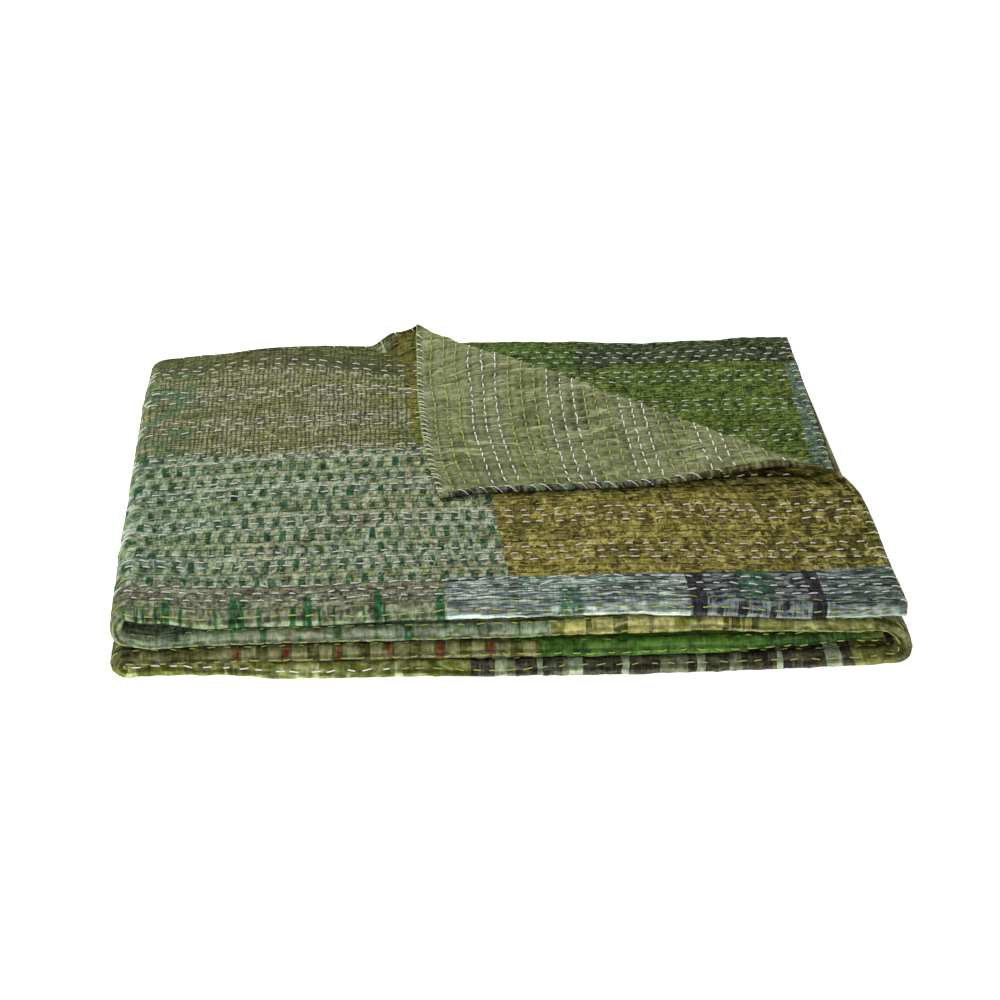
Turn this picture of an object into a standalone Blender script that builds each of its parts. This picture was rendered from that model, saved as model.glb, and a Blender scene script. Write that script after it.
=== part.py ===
"""A kantha quilt folded into a flat pile, with one corner of its top ply turned back.

The quilt is one sheet of layered, stitched cloth. It is folded twice:
  1. in thirds across its width, so that a long strip of three plies results, and
  2. in quarters along its length, so that the strip lies in four layers.
The far right corner of the topmost ply is then turned back over the pile.

A point of the flat cloth has a run s along its length, a run t across its width and a height h
above its middle surface, positive on the patchwork face. fold() takes it to its place in the pile.
Axes: +X to the right along the pile's long front edge, +Y to the back, +Z up. The origin is under
the middle of the pile, on the surface that it lies on. All sizes are in metres.
"""

import math

import bmesh
import bpy
import numpy as np
from mathutils import Vector
from mathutils.geometry import delaunay_2d_cdt

# Driving sizes of the pile and the cloth.
PILE_WIDTH = 0.455
PILE_DEPTH = 0.400
CLOTH = 0.0026
PLY_PITCH = 0.0038
LAYER_PITCH = 0.0116
ROW_PITCH = 0.0083
STITCH_DIP = 0.0005

# The first folding: thirds. The first third is tucked in the middle, short of the front fold.
TUCK = 0.010
BACK_HEM_RUN = -0.0125
FRONT_TURN = PLY_PITCH
BACK_TURN = PLY_PITCH / 2
FRONT_CENTRE = -PILE_DEPTH / 2 + FRONT_TURN + CLOTH / 2
BACK_CENTRE = PILE_DEPTH / 2 - BACK_TURN - CLOTH / 2
TUCKED_HEM = -PILE_DEPTH / 2 + TUCK
TOP_HEM = PILE_DEPTH / 2 + BACK_HEM_RUN

# Runs of cloth across the width: tucked ply, back fold, under ply, front fold, outer ply.
ACROSS = np.cumsum([
    0.0,
    BACK_CENTRE - TUCKED_HEM,
    math.pi * BACK_TURN,
    BACK_CENTRE - FRONT_CENTRE,
    math.pi * FRONT_TURN,
    TOP_HEM - FRONT_CENTRE,
])
CLOTH_WIDTH = float(ACROSS[-1])
# The stitch rows are this far from the front fold's end, in steps of the row pitch.
ROW_FROM = ACROSS[4] + ROW_PITCH / 2

# The second folding: quarters. The layers lie at these levels, counted from the bottom, and the
# cloth goes through them in this order, starting at the hem on the right end of the top layer.
LAYERS = ("top", "second", "bottom", "third")
LEVEL = {"bottom": 0, "third": 1, "second": 2, "top": 3}
STRIP = 2 * PLY_PITCH + CLOTH
LEFT_TURN = LAYER_PITCH / 2
RIGHT_TURN = LAYER_PITCH
RIGHT_OVERHANG = 0.004
HEM_X = PILE_WIDTH / 2 - 0.001
LEFT_X = -PILE_WIDTH / 2 + LEFT_TURN + STRIP / 2
RIGHT_X = PILE_WIDTH / 2 + RIGHT_OVERHANG - RIGHT_TURN - STRIP / 2
TUCKED_END_X = RIGHT_X + 0.001

# Runs of cloth along the length: each layer, and the turn that leads to the next one.
ALONG = np.cumsum([
    0.0,
    HEM_X - LEFT_X,
    math.pi * LEFT_TURN,
    RIGHT_X - LEFT_X,
    math.pi * RIGHT_TURN,
    RIGHT_X - LEFT_X,
    math.pi * LEFT_TURN,
    TUCKED_END_X - LEFT_X,
])
CLOTH_LENGTH = float(ALONG[-1])

# How each layer lies along its front fold, at these places across the pile from the left:
# front is how far the fold stands back from the pile's front line, rise is how far it lies above
# its level, and squeeze is its thickness as a share of the strip's.
STATIONS = (-0.225, -0.200, -0.170, -0.120, -0.060, 0.000, 0.055, 0.110, 0.165, 0.195, 0.225)
FRONT = {
    "top": (0.005, 0.001, -0.002, -0.001, 0.002, 0.002, 0.003, 0.000, -0.004, -0.004, -0.003),
    "second": (0.002, -0.002, -0.001, 0.000, 0.000, 0.000, 0.002, 0.003, 0.000, -0.002, 0.000),
    "third": (0.000, 0.000, 0.000, 0.000, 0.000, 0.000, -0.002, -0.001, 0.003, 0.006, 0.008),
    "bottom": (0.004, 0.007, 0.006, 0.000, 0.000, -0.002, -0.003, -0.002, 0.000, 0.002, 0.005),
}
RISE = {
    "top": (0.0020, 0.0016, 0.0002, 0.0, 0.0006, 0.0012, 0.0016, 0.0012, 0.0002, 0.0000, -0.0006),
    "second": (-0.0014, -0.0018, -0.0002, 0.0, 0.0004, 0.0008, 0.0012, 0.0010, 0.0004, 0.0004, 0.0),
    "third": (-0.0004, -0.0006, -0.0002, 0.0, 0.0002, 0.0002, 0.0004, 0.0004, 0.0010, 0.0012, -0.0002),
    "bottom": (0.0,) * 11,
}
SQUEEZE = {
    "top": (0.78, 0.84, 1.0, 1.0, 1.0, 1.0, 1.0, 1.0, 0.97, 0.94, 0.92),
    "second": (0.74, 0.72, 0.98, 1.0, 1.0, 1.0, 1.0, 0.98, 0.90, 0.88, 0.92),
    "third": (0.95, 0.95, 1.0, 1.0, 1.0, 1.0, 1.0, 1.0, 0.88, 0.74, 0.86),
    "bottom": (1.0,) * 11,
}
FRONT_REACH = 0.130

# The pile leans: its left folds drift out towards the back, and its back left corner is pressed
# down. Each layer's middle sinks by this much there, and its thickness has this share left.
LEFT_DRIFT = 0.010
SUNK = {"top": 0.0052, "second": 0.0031, "third": 0.0011, "bottom": 0.0}
PRESSED = {"top": 0.80, "second": 0.80, "third": 0.88, "bottom": 1.0}
PRESSED_REACH = 0.085
CORNER_INSET = 0.010

# The top layer's back fold wanders: it stands out towards the back by this much at the stations.
BACK = (0.007, 0.007, 0.001, 0.006, 0.002, 0.008, 0.006, 0.001, 0.005, 0.009, 0.009)
BACK_REACH = 0.060

# Towards the back the right end stands in by this much, and the lower layers' end by this much more.
# The lower layers' end also leans: its foot stands out and its top stands in by half of this.
RIGHT_INSET = 0.0040
LOWER_INSET = 0.0075
INSET_FROM = -0.060
INSET_REACH = 0.040
RIGHT_LEAN = 0.015
LEAN_WIDTH = 0.070
UNDER_TOP = 3 * LAYER_PITCH
UNDER_TOP_GAP = 0.0018

# The right hem is uneven: it stands back from the top layer's end by this much, at these runs across.
HEM_AT = (0.0, ACROSS[1], ACROSS[3], ACROSS[4], *(ACROSS[4] + np.array(
    (0.08, 0.125, 0.150, 0.172, 0.206, 0.236, 0.296, 0.361))), CLOTH_WIDTH)
HEM_BACK = (0.012, 0.005, 0.002, 0.001, 0.003, 0.006, 0.017, 0.0260, 0.0243, 0.0235, 0.0227, 0.0205, 0.014)
HEM_REACH = 0.200
# So is the back hem of the outer ply: at these runs along it reaches this much further back.
REACH_AT = (0.0, 0.02, 0.05, 0.08, 0.11, 0.14, 0.17, 0.20, 0.23, 0.27, 0.35)
REACH = (0.0106, 0.0130, 0.0155, 0.0168, 0.0174, 0.0164, 0.0140, 0.0100, 0.0052, 0.0006, 0.0)

# The corner that is turned back: its fold line on the top ply, from the back hem to the right hem.
FOLD_FROM = (-0.0508, 0.1905)
FOLD_SLANT = math.radians(44.0)
FOLD_LENGTH = (HEM_X - FOLD_FROM[0]) / math.cos(FOLD_SLANT)
FOLD_AXIS = (math.cos(FOLD_SLANT), -math.sin(FOLD_SLANT))
FOLD_NORMAL = (math.sin(FOLD_SLANT), math.cos(FOLD_SLANT))
# Along the fold line, as shares of its length: the height of the roll that the cloth makes, how high
# the top ply is drawn up under it and over what distance before it, how far the fold line bulges
# towards the back right corner, and over what distance the turned corner comes down onto the pile.
ROLL_AT = (0.00, 0.06, 0.15, 0.23, 0.34, 0.51, 0.72, 0.86, 1.00)
ROLL = (0.0130, 0.0122, 0.0124, 0.0138, 0.0130, 0.0120, 0.0110, 0.0100, 0.0096)
DRAWN_UP = (0.0108, 0.0060, 0.0042, 0.0036, 0.0034, 0.0034, 0.0034, 0.0040, 0.0054)
DRAWN_REACH = (0.013, 0.018, 0.034, 0.050, 0.055, 0.055, 0.055, 0.055, 0.055)
BULGE = (-0.0085, -0.0075, -0.0055, -0.0030, -0.0005, 0.0000, 0.0000, 0.0000, 0.0000)
SETTLING = (0.045, 0.050, 0.060, 0.070, 0.075, 0.080, 0.080, 0.080, 0.080)
LYING_GAP = 0.0006

# The mesh follows these places across and along the pile on every ply, the turns in cells, the roll
# in chains of cells, and on the plies that show every stitch row and the ridge between two rows.
LINES_X = (-0.200, -0.165, -0.115, 0.000, 0.110, 0.180)
LINES_Y = (-0.150, -0.080, 0.080, 0.150)
TURN_CELLS = 5
SMALL_TURN_CELLS = 4
ROLL_CELLS = 6
SETTLING_CELLS = 3
DRAWN_CELLS = 2
REVEALED_FROM = ACROSS[1] * 0.35
OVER = 0.010
CHAINS_AT = (-0.5, *ROLL_AT[:-1], 0.93, 1.0, 1.07, 1.5)
HEM_STEPS = 12
MERGED = 1e-6
COLOUR = (0.26, 0.31, 0.13, 1.0)
ROUGHNESS = 0.9


def smooth(share):
    """An S-shaped step from 0 to 1, level at both ends."""
    share = np.clip(share, 0.0, 1.0)
    return share * share * (3.0 - 2.0 * share)


def across(t):
    """The cloth's place in the strip's section at the run t: depth y, height w, and the face's normal."""
    tucked, back, under, front, outer = (t - ACROSS[i] for i in range(5))
    turn_back = np.clip(back / BACK_TURN, 0.0, math.pi)
    turn_front = np.clip(front / FRONT_TURN, 0.0, math.pi)
    depth = np.select(
        [t < ACROSS[1], t < ACROSS[2], t < ACROSS[3], t < ACROSS[4]],
        [
            TUCKED_HEM + tucked,
            BACK_CENTRE + BACK_TURN * np.sin(turn_back),
            BACK_CENTRE - under,
            FRONT_CENTRE - FRONT_TURN * np.sin(turn_front),
        ],
        FRONT_CENTRE + outer,
    )
    height = np.select(
        [t < ACROSS[1], t < ACROSS[2], t < ACROSS[3], t < ACROSS[4]],
        [
            0.0 * t,
            BACK_TURN * (np.cos(turn_back) - 1.0),
            0.0 * t - PLY_PITCH,
            -FRONT_TURN * np.cos(turn_front),
        ],
        PLY_PITCH,
    )
    turned = turn_back + turn_front
    return depth, height, np.sin(turned), np.cos(turned)


def by_station(values, x):
    """A row of the layer tables, read at x with soft corners between its stations."""
    place = np.clip(np.interp(x, STATIONS, range(len(STATIONS))), 0, len(STATIONS) - 1.001)
    left = place.astype(int)
    low, high = np.take(values, left), np.take(values, left + 1)
    return low + (high - low) * smooth(place - left)


def lying(layer, x, y):
    """How a layer lies at a place: (height of its middle, thickness share, shift in depth)."""
    near_front = smooth((FRONT_REACH - (y + PILE_DEPTH / 2)) / FRONT_REACH)
    rise = by_station(RISE[layer], x) * near_front
    squeeze = 1.0 + (by_station(SQUEEZE[layer], x) - 1.0) * near_front
    shift = by_station(FRONT[layer], x) * near_front
    corner = smooth(1.0 - np.hypot(x + PILE_WIDTH / 2, y - PILE_DEPTH / 2) / PRESSED_REACH)
    rise = rise - SUNK[layer] * corner
    squeeze = squeeze * (1.0 - (1.0 - PRESSED[layer]) * corner)
    shift = shift - CORNER_INSET * corner
    if layer == "top":
        shift = shift + by_station(BACK, x) * smooth((y - PILE_DEPTH / 2) / BACK_REACH + 1.0)
    return LEVEL[layer] * LAYER_PITCH + STRIP / 2 + rise, squeeze, shift


def along(s, y):
    """The strip's middle at the run s and the depth y: x, z, thickness share and shift in depth."""
    x, z, squeeze, shift = (np.zeros_like(s) for _ in range(4))
    ends = {"top": (HEM_X, LEFT_X), "second": (LEFT_X, RIGHT_X),
            "bottom": (RIGHT_X, LEFT_X), "third": (LEFT_X, TUCKED_END_X)}
    for number, layer in enumerate(LAYERS):
        start, end = ALONG[2 * number], ALONG[2 * number + 1]
        last = number == len(LAYERS) - 1
        here = (s >= start if number else s > -1.0) & ((s < end) | last)
        lies_x = ends[layer][0] + (s - start) / (end - start) * (ends[layer][1] - ends[layer][0])
        found = lying(layer, lies_x, y)
        for result, value in zip((x, z, squeeze, shift), (lies_x, *found)):
            result[here] = value[here]
        if last:
            break
        turn_end = ALONG[2 * number + 2]
        turning = (s >= end) & (s < turn_end)
        share = (s - end) / (turn_end - end)
        edge_x = ends[layer][1] + 0.0 * s
        before, after = lying(layer, edge_x, y), lying(LAYERS[number + 1], edge_x, y)
        outwards = 1.0 if ends[layer][1] > 0 else -1.0
        reach = (turn_end - end) / math.pi
        middle, half = (before[0] + after[0]) / 2, (before[0] - after[0]) / 2
        bend = (
            edge_x + outwards * reach * np.sin(math.pi * share),
            middle + half * np.cos(math.pi * share),
            before[1] + (after[1] - before[1]) * share,
            before[2] + (after[2] - before[2]) * share,
        )
        for result, value in zip((x, z, squeeze, shift), bend):
            result[turning] = value[turning]
    return x, z, squeeze, shift


def turn_corner(x, y, h):
    """Turns back what lies past the fold line. x and y are places on the flat top ply, h is above it."""
    from_x, from_y = x - FOLD_FROM[0], y - FOLD_FROM[1]
    share = np.clip((from_x * FOLD_AXIS[0] + from_y * FOLD_AXIS[1]) / FOLD_LENGTH, 0.0, 1.0)
    bulge = np.interp(share, ROLL_AT, BULGE)
    radius = np.interp(share, ROLL_AT, ROLL) / 2
    drawn_up = np.interp(share, ROLL_AT, DRAWN_UP)
    drawn_reach = np.interp(share, ROLL_AT, DRAWN_REACH)
    settling = np.interp(share, ROLL_AT, SETTLING)
    past = from_x * FOLD_NORMAL[0] + from_y * FOLD_NORMAL[1] - bulge
    angle = np.clip(past / radius, 0.0, math.pi)
    lying_past = np.maximum(past - math.pi * radius, 0.0)
    settled = smooth(lying_past / settling)
    lift = np.where(past > 0.0, 1.0 - settled, smooth(1.0 + past / drawn_reach)) * drawn_up
    # Past the roll the bulge is taken back, so that the turned corner keeps its shape.
    lying_past = lying_past + 2.0 * bulge * smooth(lying_past / (2.0 * settling))
    reach = np.where(past > 0.0, (radius - h) * np.sin(angle) - lying_past, past)
    height = np.where(past > 0.0, radius - (radius - h) * np.cos(angle), h)
    height = height - settled * (2 * radius - CLOTH - LYING_GAP)
    moved = reach - past
    return x + moved * FOLD_NORMAL[0], y + moved * FOLD_NORMAL[1], height + lift


def right_drift(x, y, z):
    """How far a place near the right end stands in from where the plain folds would put it."""
    lower = smooth((UNDER_TOP - z) / UNDER_TOP_GAP)
    inset = (RIGHT_INSET + LOWER_INSET * lower) * smooth((y - INSET_FROM) / INSET_REACH)
    lean = RIGHT_LEAN * lower * (z / UNDER_TOP - 0.5) * smooth((x - RIGHT_X) / LEAN_WIDTH + 1.0)
    return inset * smooth(2 * x / PILE_WIDTH) + lean


def uneven_hems(s, t):
    """The runs that the flat cloth's runs s and t come to, near its right hem and its back hem."""
    outer_share = (t - ACROSS[4]) / (CLOTH_WIDTH - ACROSS[4])
    reach = np.interp(s, REACH_AT, REACH) * smooth(outer_share)
    return s + np.interp(t, HEM_AT, HEM_BACK) * smooth(1.0 - s / HEM_REACH), t + reach


def flat_runs(s, t):
    """The runs of the flat cloth that uneven_hems() brings to s and t."""
    flat_s, flat_t = s, t
    for _ in range(HEM_STEPS):
        moved_s, moved_t = uneven_hems(flat_s, flat_t)
        flat_s, flat_t = flat_s + s - moved_s, flat_t + t - moved_t
    return float(flat_s), float(flat_t)


def fold(s, t, h):
    """The place in the pile of the flat cloth's points at the runs s and t and the height h."""
    s, t = uneven_hems(s, t)
    y, w, normal_y, normal_w = across(t)
    y, w = y + normal_y * h, w + normal_w * h
    on_top = (s < ALONG[1]) & (t > ACROSS[4])
    x_turned, y_turned, h_turned = turn_corner(HEM_X - s, y, w - PLY_PITCH)
    s = np.where(on_top, HEM_X - x_turned, s)
    y = np.where(on_top, y_turned, y)
    w = np.where(on_top, h_turned + PLY_PITCH, w)
    step = 1e-4
    x, z, squeeze, shift = along(s, y)
    x_before, z_before, _, _ = along(s - step, y)
    x_after, z_after, _, _ = along(s + step, y)
    run = np.hypot(x_after - x_before, z_after - z_before)
    normal_x, normal_z = (z_after - z_before) / run, -(x_after - x_before) / run
    x, z = x + normal_x * w * squeeze, z + normal_z * w * squeeze
    left_drift = LEFT_DRIFT * smooth(-2 * x / PILE_WIDTH) * (y / PILE_DEPTH + 0.5)
    return np.stack([x - left_drift - right_drift(x, y, z), y + shift, z], axis=-1)


def spaced(start, end, cells):
    return [start + (end - start) * i / cells for i in range(cells + 1)]


def stitch_row(t):
    """How deep a face lies at the run t: 1 on a stitch row, 0 midway between two rows."""
    place = (t - ROW_FROM) / ROW_PITCH
    return 1.0 - 2.0 * np.abs(place - np.round(place))


def row_lines(start, end):
    """The runs across of every stitch row, and of every ridge between two rows, in a stretch."""
    first, last = (math.ceil((t - ROW_FROM) / (ROW_PITCH / 2)) for t in (start, end))
    lines = [row_line(n) for n in range(first, last)]
    return [t for t in lines if start + 0.001 < t < end - 0.001]


def row_line(number):
    return ROW_FROM + number * ROW_PITCH / 2


def nearest_row_line(t):
    return row_line(round((t - ROW_FROM) / (ROW_PITCH / 2)))


def cell_runs_along():
    """The runs s of the mesh's lines across the cloth: at LINES_X in each layer, and in its turns."""
    runs = []
    for number, layer in enumerate(LAYERS):
        start, end = ALONG[2 * number], ALONG[2 * number + 1]
        inner = [start + (HEM_X if number == 0 else RIGHT_X) - x for x in LINES_X]
        if layer in ("second", "third"):
            inner = [start + x - LEFT_X for x in LINES_X]
        runs += [start, *sorted(inner)]
        if number < len(LAYERS) - 1:
            runs += spaced(end, ALONG[2 * number + 2], TURN_CELLS)[:-1]
    return runs + [CLOTH_LENGTH]


def cell_runs_across():
    """The runs t of the mesh's lines along the cloth: at LINES_Y in each ply, and in the two turns."""
    tucked = [y - TUCKED_HEM for y in LINES_Y]
    under = [ACROSS[2] + BACK_CENTRE - y for y in LINES_Y]
    outer = [ACROSS[4] + y - FRONT_CENTRE for y in LINES_Y]
    runs = [nearest_row_line(t) for t in tucked + under + outer]
    runs += spaced(ACROSS[1], ACROSS[2], SMALL_TURN_CELLS) + spaced(ACROSS[3], ACROSS[4], TURN_CELLS)
    return [0.0, *sorted(runs), CLOTH_WIDTH]


def revealed_to(t):
    """How far along the tucked ply shows behind the turned corner, at the run t."""
    y = TUCKED_HEM + t
    return HEM_X - FOLD_FROM[0] + (y - FOLD_FROM[1]) * FOLD_AXIS[0] / -FOLD_AXIS[1] + OVER


def ridged(s, t):
    """Whether the stitch rows are raised on the mesh here: on the top ply, and where it is turned back."""
    outer = (t > ACROSS[4]) & (s <= ALONG[1])
    return outer | ((t > REVEALED_FROM) & (t < ACROSS[1]) & (s <= revealed_to(t) + 1e-6))


def cell_lines():
    """The straight lines of the flat cloth that the mesh follows: each is a pair of (s, t) ends."""
    lines = [((s, -OVER), (s, CLOTH_WIDTH + OVER)) for s in cell_runs_along()[1:-1]]
    lines += [((-OVER, t), (CLOTH_LENGTH + OVER, t)) for t in cell_runs_across()[1:-1]]
    lines += [((-OVER, t), (ALONG[1], t)) for t in row_lines(ACROSS[4], CLOTH_WIDTH)]
    lines += [((-OVER, t), (revealed_to(t), t)) for t in row_lines(REVEALED_FROM, ACROSS[1])]
    return lines


def roll_offsets(share):
    """How far past the fold line the mesh's lines lie along the roll, at a share of its length."""
    run = math.pi * np.interp(share, ROLL_AT, ROLL) / 2
    settling = np.interp(share, ROLL_AT, SETTLING)
    offsets = spaced(-np.interp(share, ROLL_AT, DRAWN_REACH), 0.0, DRAWN_CELLS)[:-1]
    offsets += spaced(0.0, run, ROLL_CELLS)
    offsets += spaced(run, run + settling, SETTLING_CELLS)[1:]
    return [offset + np.interp(share, ROLL_AT, BULGE) for offset in offsets]


def roll_lines():
    """Chains of lines along the roll of the turned corner, from beyond one hem to beyond the other."""
    chains = []
    for share in CHAINS_AT:
        along_x = FOLD_FROM[0] + FOLD_AXIS[0] * FOLD_LENGTH * share
        along_y = FOLD_FROM[1] + FOLD_AXIS[1] * FOLD_LENGTH * share
        places = [(along_x + FOLD_NORMAL[0] * away, along_y + FOLD_NORMAL[1] * away)
                  for away in roll_offsets(share)]
        chains.append([flat_runs(HEM_X - x, ACROSS[4] + y - FRONT_CENTRE) for x, y in places])
    pairs = [pair for one, other in zip(chains, chains[1:]) for pair in zip(one, other)]
    return [pair for pair in pairs if min(end[1] for end in pair) > ACROSS[4]]


def triangulate(lines):
    """Flat points and triangles that follow the lines, inside the cloth's outline."""
    corners = [(0.0, 0.0), (CLOTH_LENGTH, 0.0), (CLOTH_LENGTH, CLOTH_WIDTH), (0.0, CLOTH_WIDTH)]
    points = [Vector(end) for end in corners + [end for line in lines for end in line]]
    edges = [(4 + 2 * i, 5 + 2 * i) for i in range(len(lines))]
    places, _, triangles = delaunay_2d_cdt(points, edges, [(0, 1, 2, 3)], 1, MERGED)[:3]
    places = np.array([tuple(place) for place in places])
    # Lines that go on beyond the cloth can close triangles out there. They are left out.
    beyond = np.maximum(-places, places - np.array([CLOTH_LENGTH, CLOTH_WIDTH])).max(axis=1) > MERGED
    triangles = [triangle for triangle in triangles if not any(beyond[v] for v in triangle)]
    used = sorted({v for triangle in triangles for v in triangle})
    renumbered = {old: new for new, old in enumerate(used)}
    return places[used], [tuple(renumbered[v] for v in triangle) for triangle in triangles]


def outline(points, faces):
    """The edges that only one triangle uses, in that triangle's direction."""
    used = {(a, b) for face in faces for a, b in zip(face, face[1:] + face[:1])}
    return [(a, b) for a, b in used if (b, a) not in used]


def quilt_mesh():
    points, faces = triangulate(cell_lines() + roll_lines())
    s, t = points[:, 0], points[:, 1]
    dip = np.where(ridged(s, t), stitch_row(t), 0.5) * STITCH_DIP
    face_side = fold(s, t, CLOTH / 2 - dip)
    back_side = fold(s, t, dip - CLOTH / 2)
    count = len(points)
    # The first folding and the run s mirror the flat cloth, so the face side turns its triangles round.
    solid = [tuple(reversed(f)) for f in faces]
    solid += [tuple(v + count for v in f) for f in faces]
    for a, b in outline(points, faces):
        solid.append((a, b, b + count, a + count))
    mesh = bpy.data.meshes.new("quilt")
    mesh.from_pydata(np.concatenate([face_side, back_side]).tolist(), [], solid)
    mesh.update()
    return mesh


def tidy(mesh):
    """Triangulates the mesh, and centres it over the origin with its lowest face at z = 0."""
    body = bmesh.new()
    body.from_mesh(mesh)
    bmesh.ops.triangulate(body, faces=body.faces)
    bmesh.ops.recalc_face_normals(body, faces=body.faces)
    low, high = (Vector([pick(v.co[i] for v in body.verts) for i in range(3)]) for pick in (min, max))
    middle = Vector(((low.x + high.x) / 2, (low.y + high.y) / 2, low.z))
    bmesh.ops.translate(body, verts=body.verts, vec=-middle)
    body.to_mesh(mesh)
    body.free()


def cloth_material():
    material = bpy.data.materials.new("quilted_cotton")
    material.use_nodes = True
    shader = material.node_tree.nodes["Principled BSDF"]
    shader.inputs["Base Color"].default_value = COLOUR
    shader.inputs["Roughness"].default_value = ROUGHNESS
    shader.inputs["Metallic"].default_value = 0.0
    return material


def main():
    for obj in list(bpy.data.objects):
        bpy.data.objects.remove(obj)
    mesh = quilt_mesh()
    tidy(mesh)
    mesh.materials.append(cloth_material())
    quilt = bpy.data.objects.new("quilt", mesh)
    bpy.context.scene.collection.objects.link(quilt)
    mesh.shade_smooth()


main()
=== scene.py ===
"""Looks of the folded kantha quilt: its fine cloth, its stitches, its patches, and a soft white studio.

The cloth is the same sheet as in the CAD, folded by the same map, with a fine mesh where it shows.
Flat places are a run s along the cloth and a run t across it, and h is the height above the middle of
the cloth, positive on the patchwork face. Sizes are in metres, but those in the patterns of the cloth
materials, and those whose names end in _mm, are in millimetres.
"""

import math
from collections import namedtuple

import bpy
import numpy as np
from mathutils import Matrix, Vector


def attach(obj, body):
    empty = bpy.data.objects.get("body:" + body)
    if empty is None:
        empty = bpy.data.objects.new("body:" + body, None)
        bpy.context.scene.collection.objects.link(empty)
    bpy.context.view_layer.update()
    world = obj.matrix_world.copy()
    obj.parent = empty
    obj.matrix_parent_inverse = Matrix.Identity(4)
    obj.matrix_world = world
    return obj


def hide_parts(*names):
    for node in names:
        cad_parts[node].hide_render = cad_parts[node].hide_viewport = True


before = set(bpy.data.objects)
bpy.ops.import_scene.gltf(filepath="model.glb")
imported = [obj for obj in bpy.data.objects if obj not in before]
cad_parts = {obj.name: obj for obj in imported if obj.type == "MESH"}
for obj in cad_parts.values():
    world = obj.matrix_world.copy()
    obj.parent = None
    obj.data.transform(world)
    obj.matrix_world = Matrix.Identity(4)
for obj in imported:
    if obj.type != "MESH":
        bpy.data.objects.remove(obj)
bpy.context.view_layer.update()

# ---------------------------------------------------------------- the camera, from the photograph
# The middle of the unshifted pile: the CAD is centred over the origin, and everything here is too.
MIDDLE = np.array([-0.00173, 0.00262, 0.00025])
CAMERA_TARGET = Vector((0.0041, 0.0314, 0.0)) - Vector(MIDDLE)
CAMERA_TURN = math.radians(-2.386)
CAMERA_RISE = math.radians(26.12)
CAMERA_DISTANCE = 1.5805
LENS_MM = 86.4
SENSOR_MM = 36.0


def placed(name, data):
    """A new object in the scene."""
    made = bpy.data.objects.new(name, data)
    bpy.context.scene.collection.objects.link(made)
    return made


def add_camera():
    data = bpy.data.cameras.new("camera")
    data.lens = LENS_MM
    data.sensor_width = SENSOR_MM
    camera = placed("camera", data)
    back = Vector((
        math.sin(CAMERA_TURN) * math.cos(CAMERA_RISE),
        -math.cos(CAMERA_TURN) * math.cos(CAMERA_RISE),
        math.sin(CAMERA_RISE),
    ))
    camera.location = CAMERA_TARGET + back * CAMERA_DISTANCE
    camera.rotation_euler = back.to_track_quat("Z", "Y").to_euler()
    bpy.context.scene.camera = camera


add_camera()

# ---------------------------------------------------------------- the folded sheet, as in the CAD
PILE_WIDTH = 0.455
PILE_DEPTH = 0.400
CLOTH = 0.0026
PLY_PITCH = 0.0038
LAYER_PITCH = 0.0116
ROW_PITCH = 0.0083
TUCK = 0.010
BACK_HEM_RUN = -0.0125
FRONT_TURN = PLY_PITCH
BACK_TURN = PLY_PITCH / 2
FRONT_CENTRE = -PILE_DEPTH / 2 + FRONT_TURN + CLOTH / 2
BACK_CENTRE = PILE_DEPTH / 2 - BACK_TURN - CLOTH / 2
TUCKED_HEM = -PILE_DEPTH / 2 + TUCK
TOP_HEM = PILE_DEPTH / 2 + BACK_HEM_RUN
# Runs of cloth across the width: tucked ply, back fold, under ply, front fold, outer ply.
ACROSS = np.cumsum([
    0.0,
    BACK_CENTRE - TUCKED_HEM,
    math.pi * BACK_TURN,
    BACK_CENTRE - FRONT_CENTRE,
    math.pi * FRONT_TURN,
    TOP_HEM - FRONT_CENTRE,
])
CLOTH_WIDTH = float(ACROSS[-1])
ROW_FROM = ACROSS[4] + ROW_PITCH / 2

LAYERS = ("top", "second", "bottom", "third")
LEVEL = {"bottom": 0, "third": 1, "second": 2, "top": 3}
STRIP = 2 * PLY_PITCH + CLOTH
LEFT_TURN = LAYER_PITCH / 2
RIGHT_TURN = LAYER_PITCH
RIGHT_OVERHANG = 0.004
HEM_X = PILE_WIDTH / 2 - 0.001
LEFT_X = -PILE_WIDTH / 2 + LEFT_TURN + STRIP / 2
RIGHT_X = PILE_WIDTH / 2 + RIGHT_OVERHANG - RIGHT_TURN - STRIP / 2
TUCKED_END_X = RIGHT_X + 0.001
# Runs of cloth along the length: each layer, and the turn that leads to the next one.
ALONG = np.cumsum([
    0.0,
    HEM_X - LEFT_X,
    math.pi * LEFT_TURN,
    RIGHT_X - LEFT_X,
    math.pi * RIGHT_TURN,
    RIGHT_X - LEFT_X,
    math.pi * LEFT_TURN,
    TUCKED_END_X - LEFT_X,
])
CLOTH_LENGTH = float(ALONG[-1])

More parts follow.
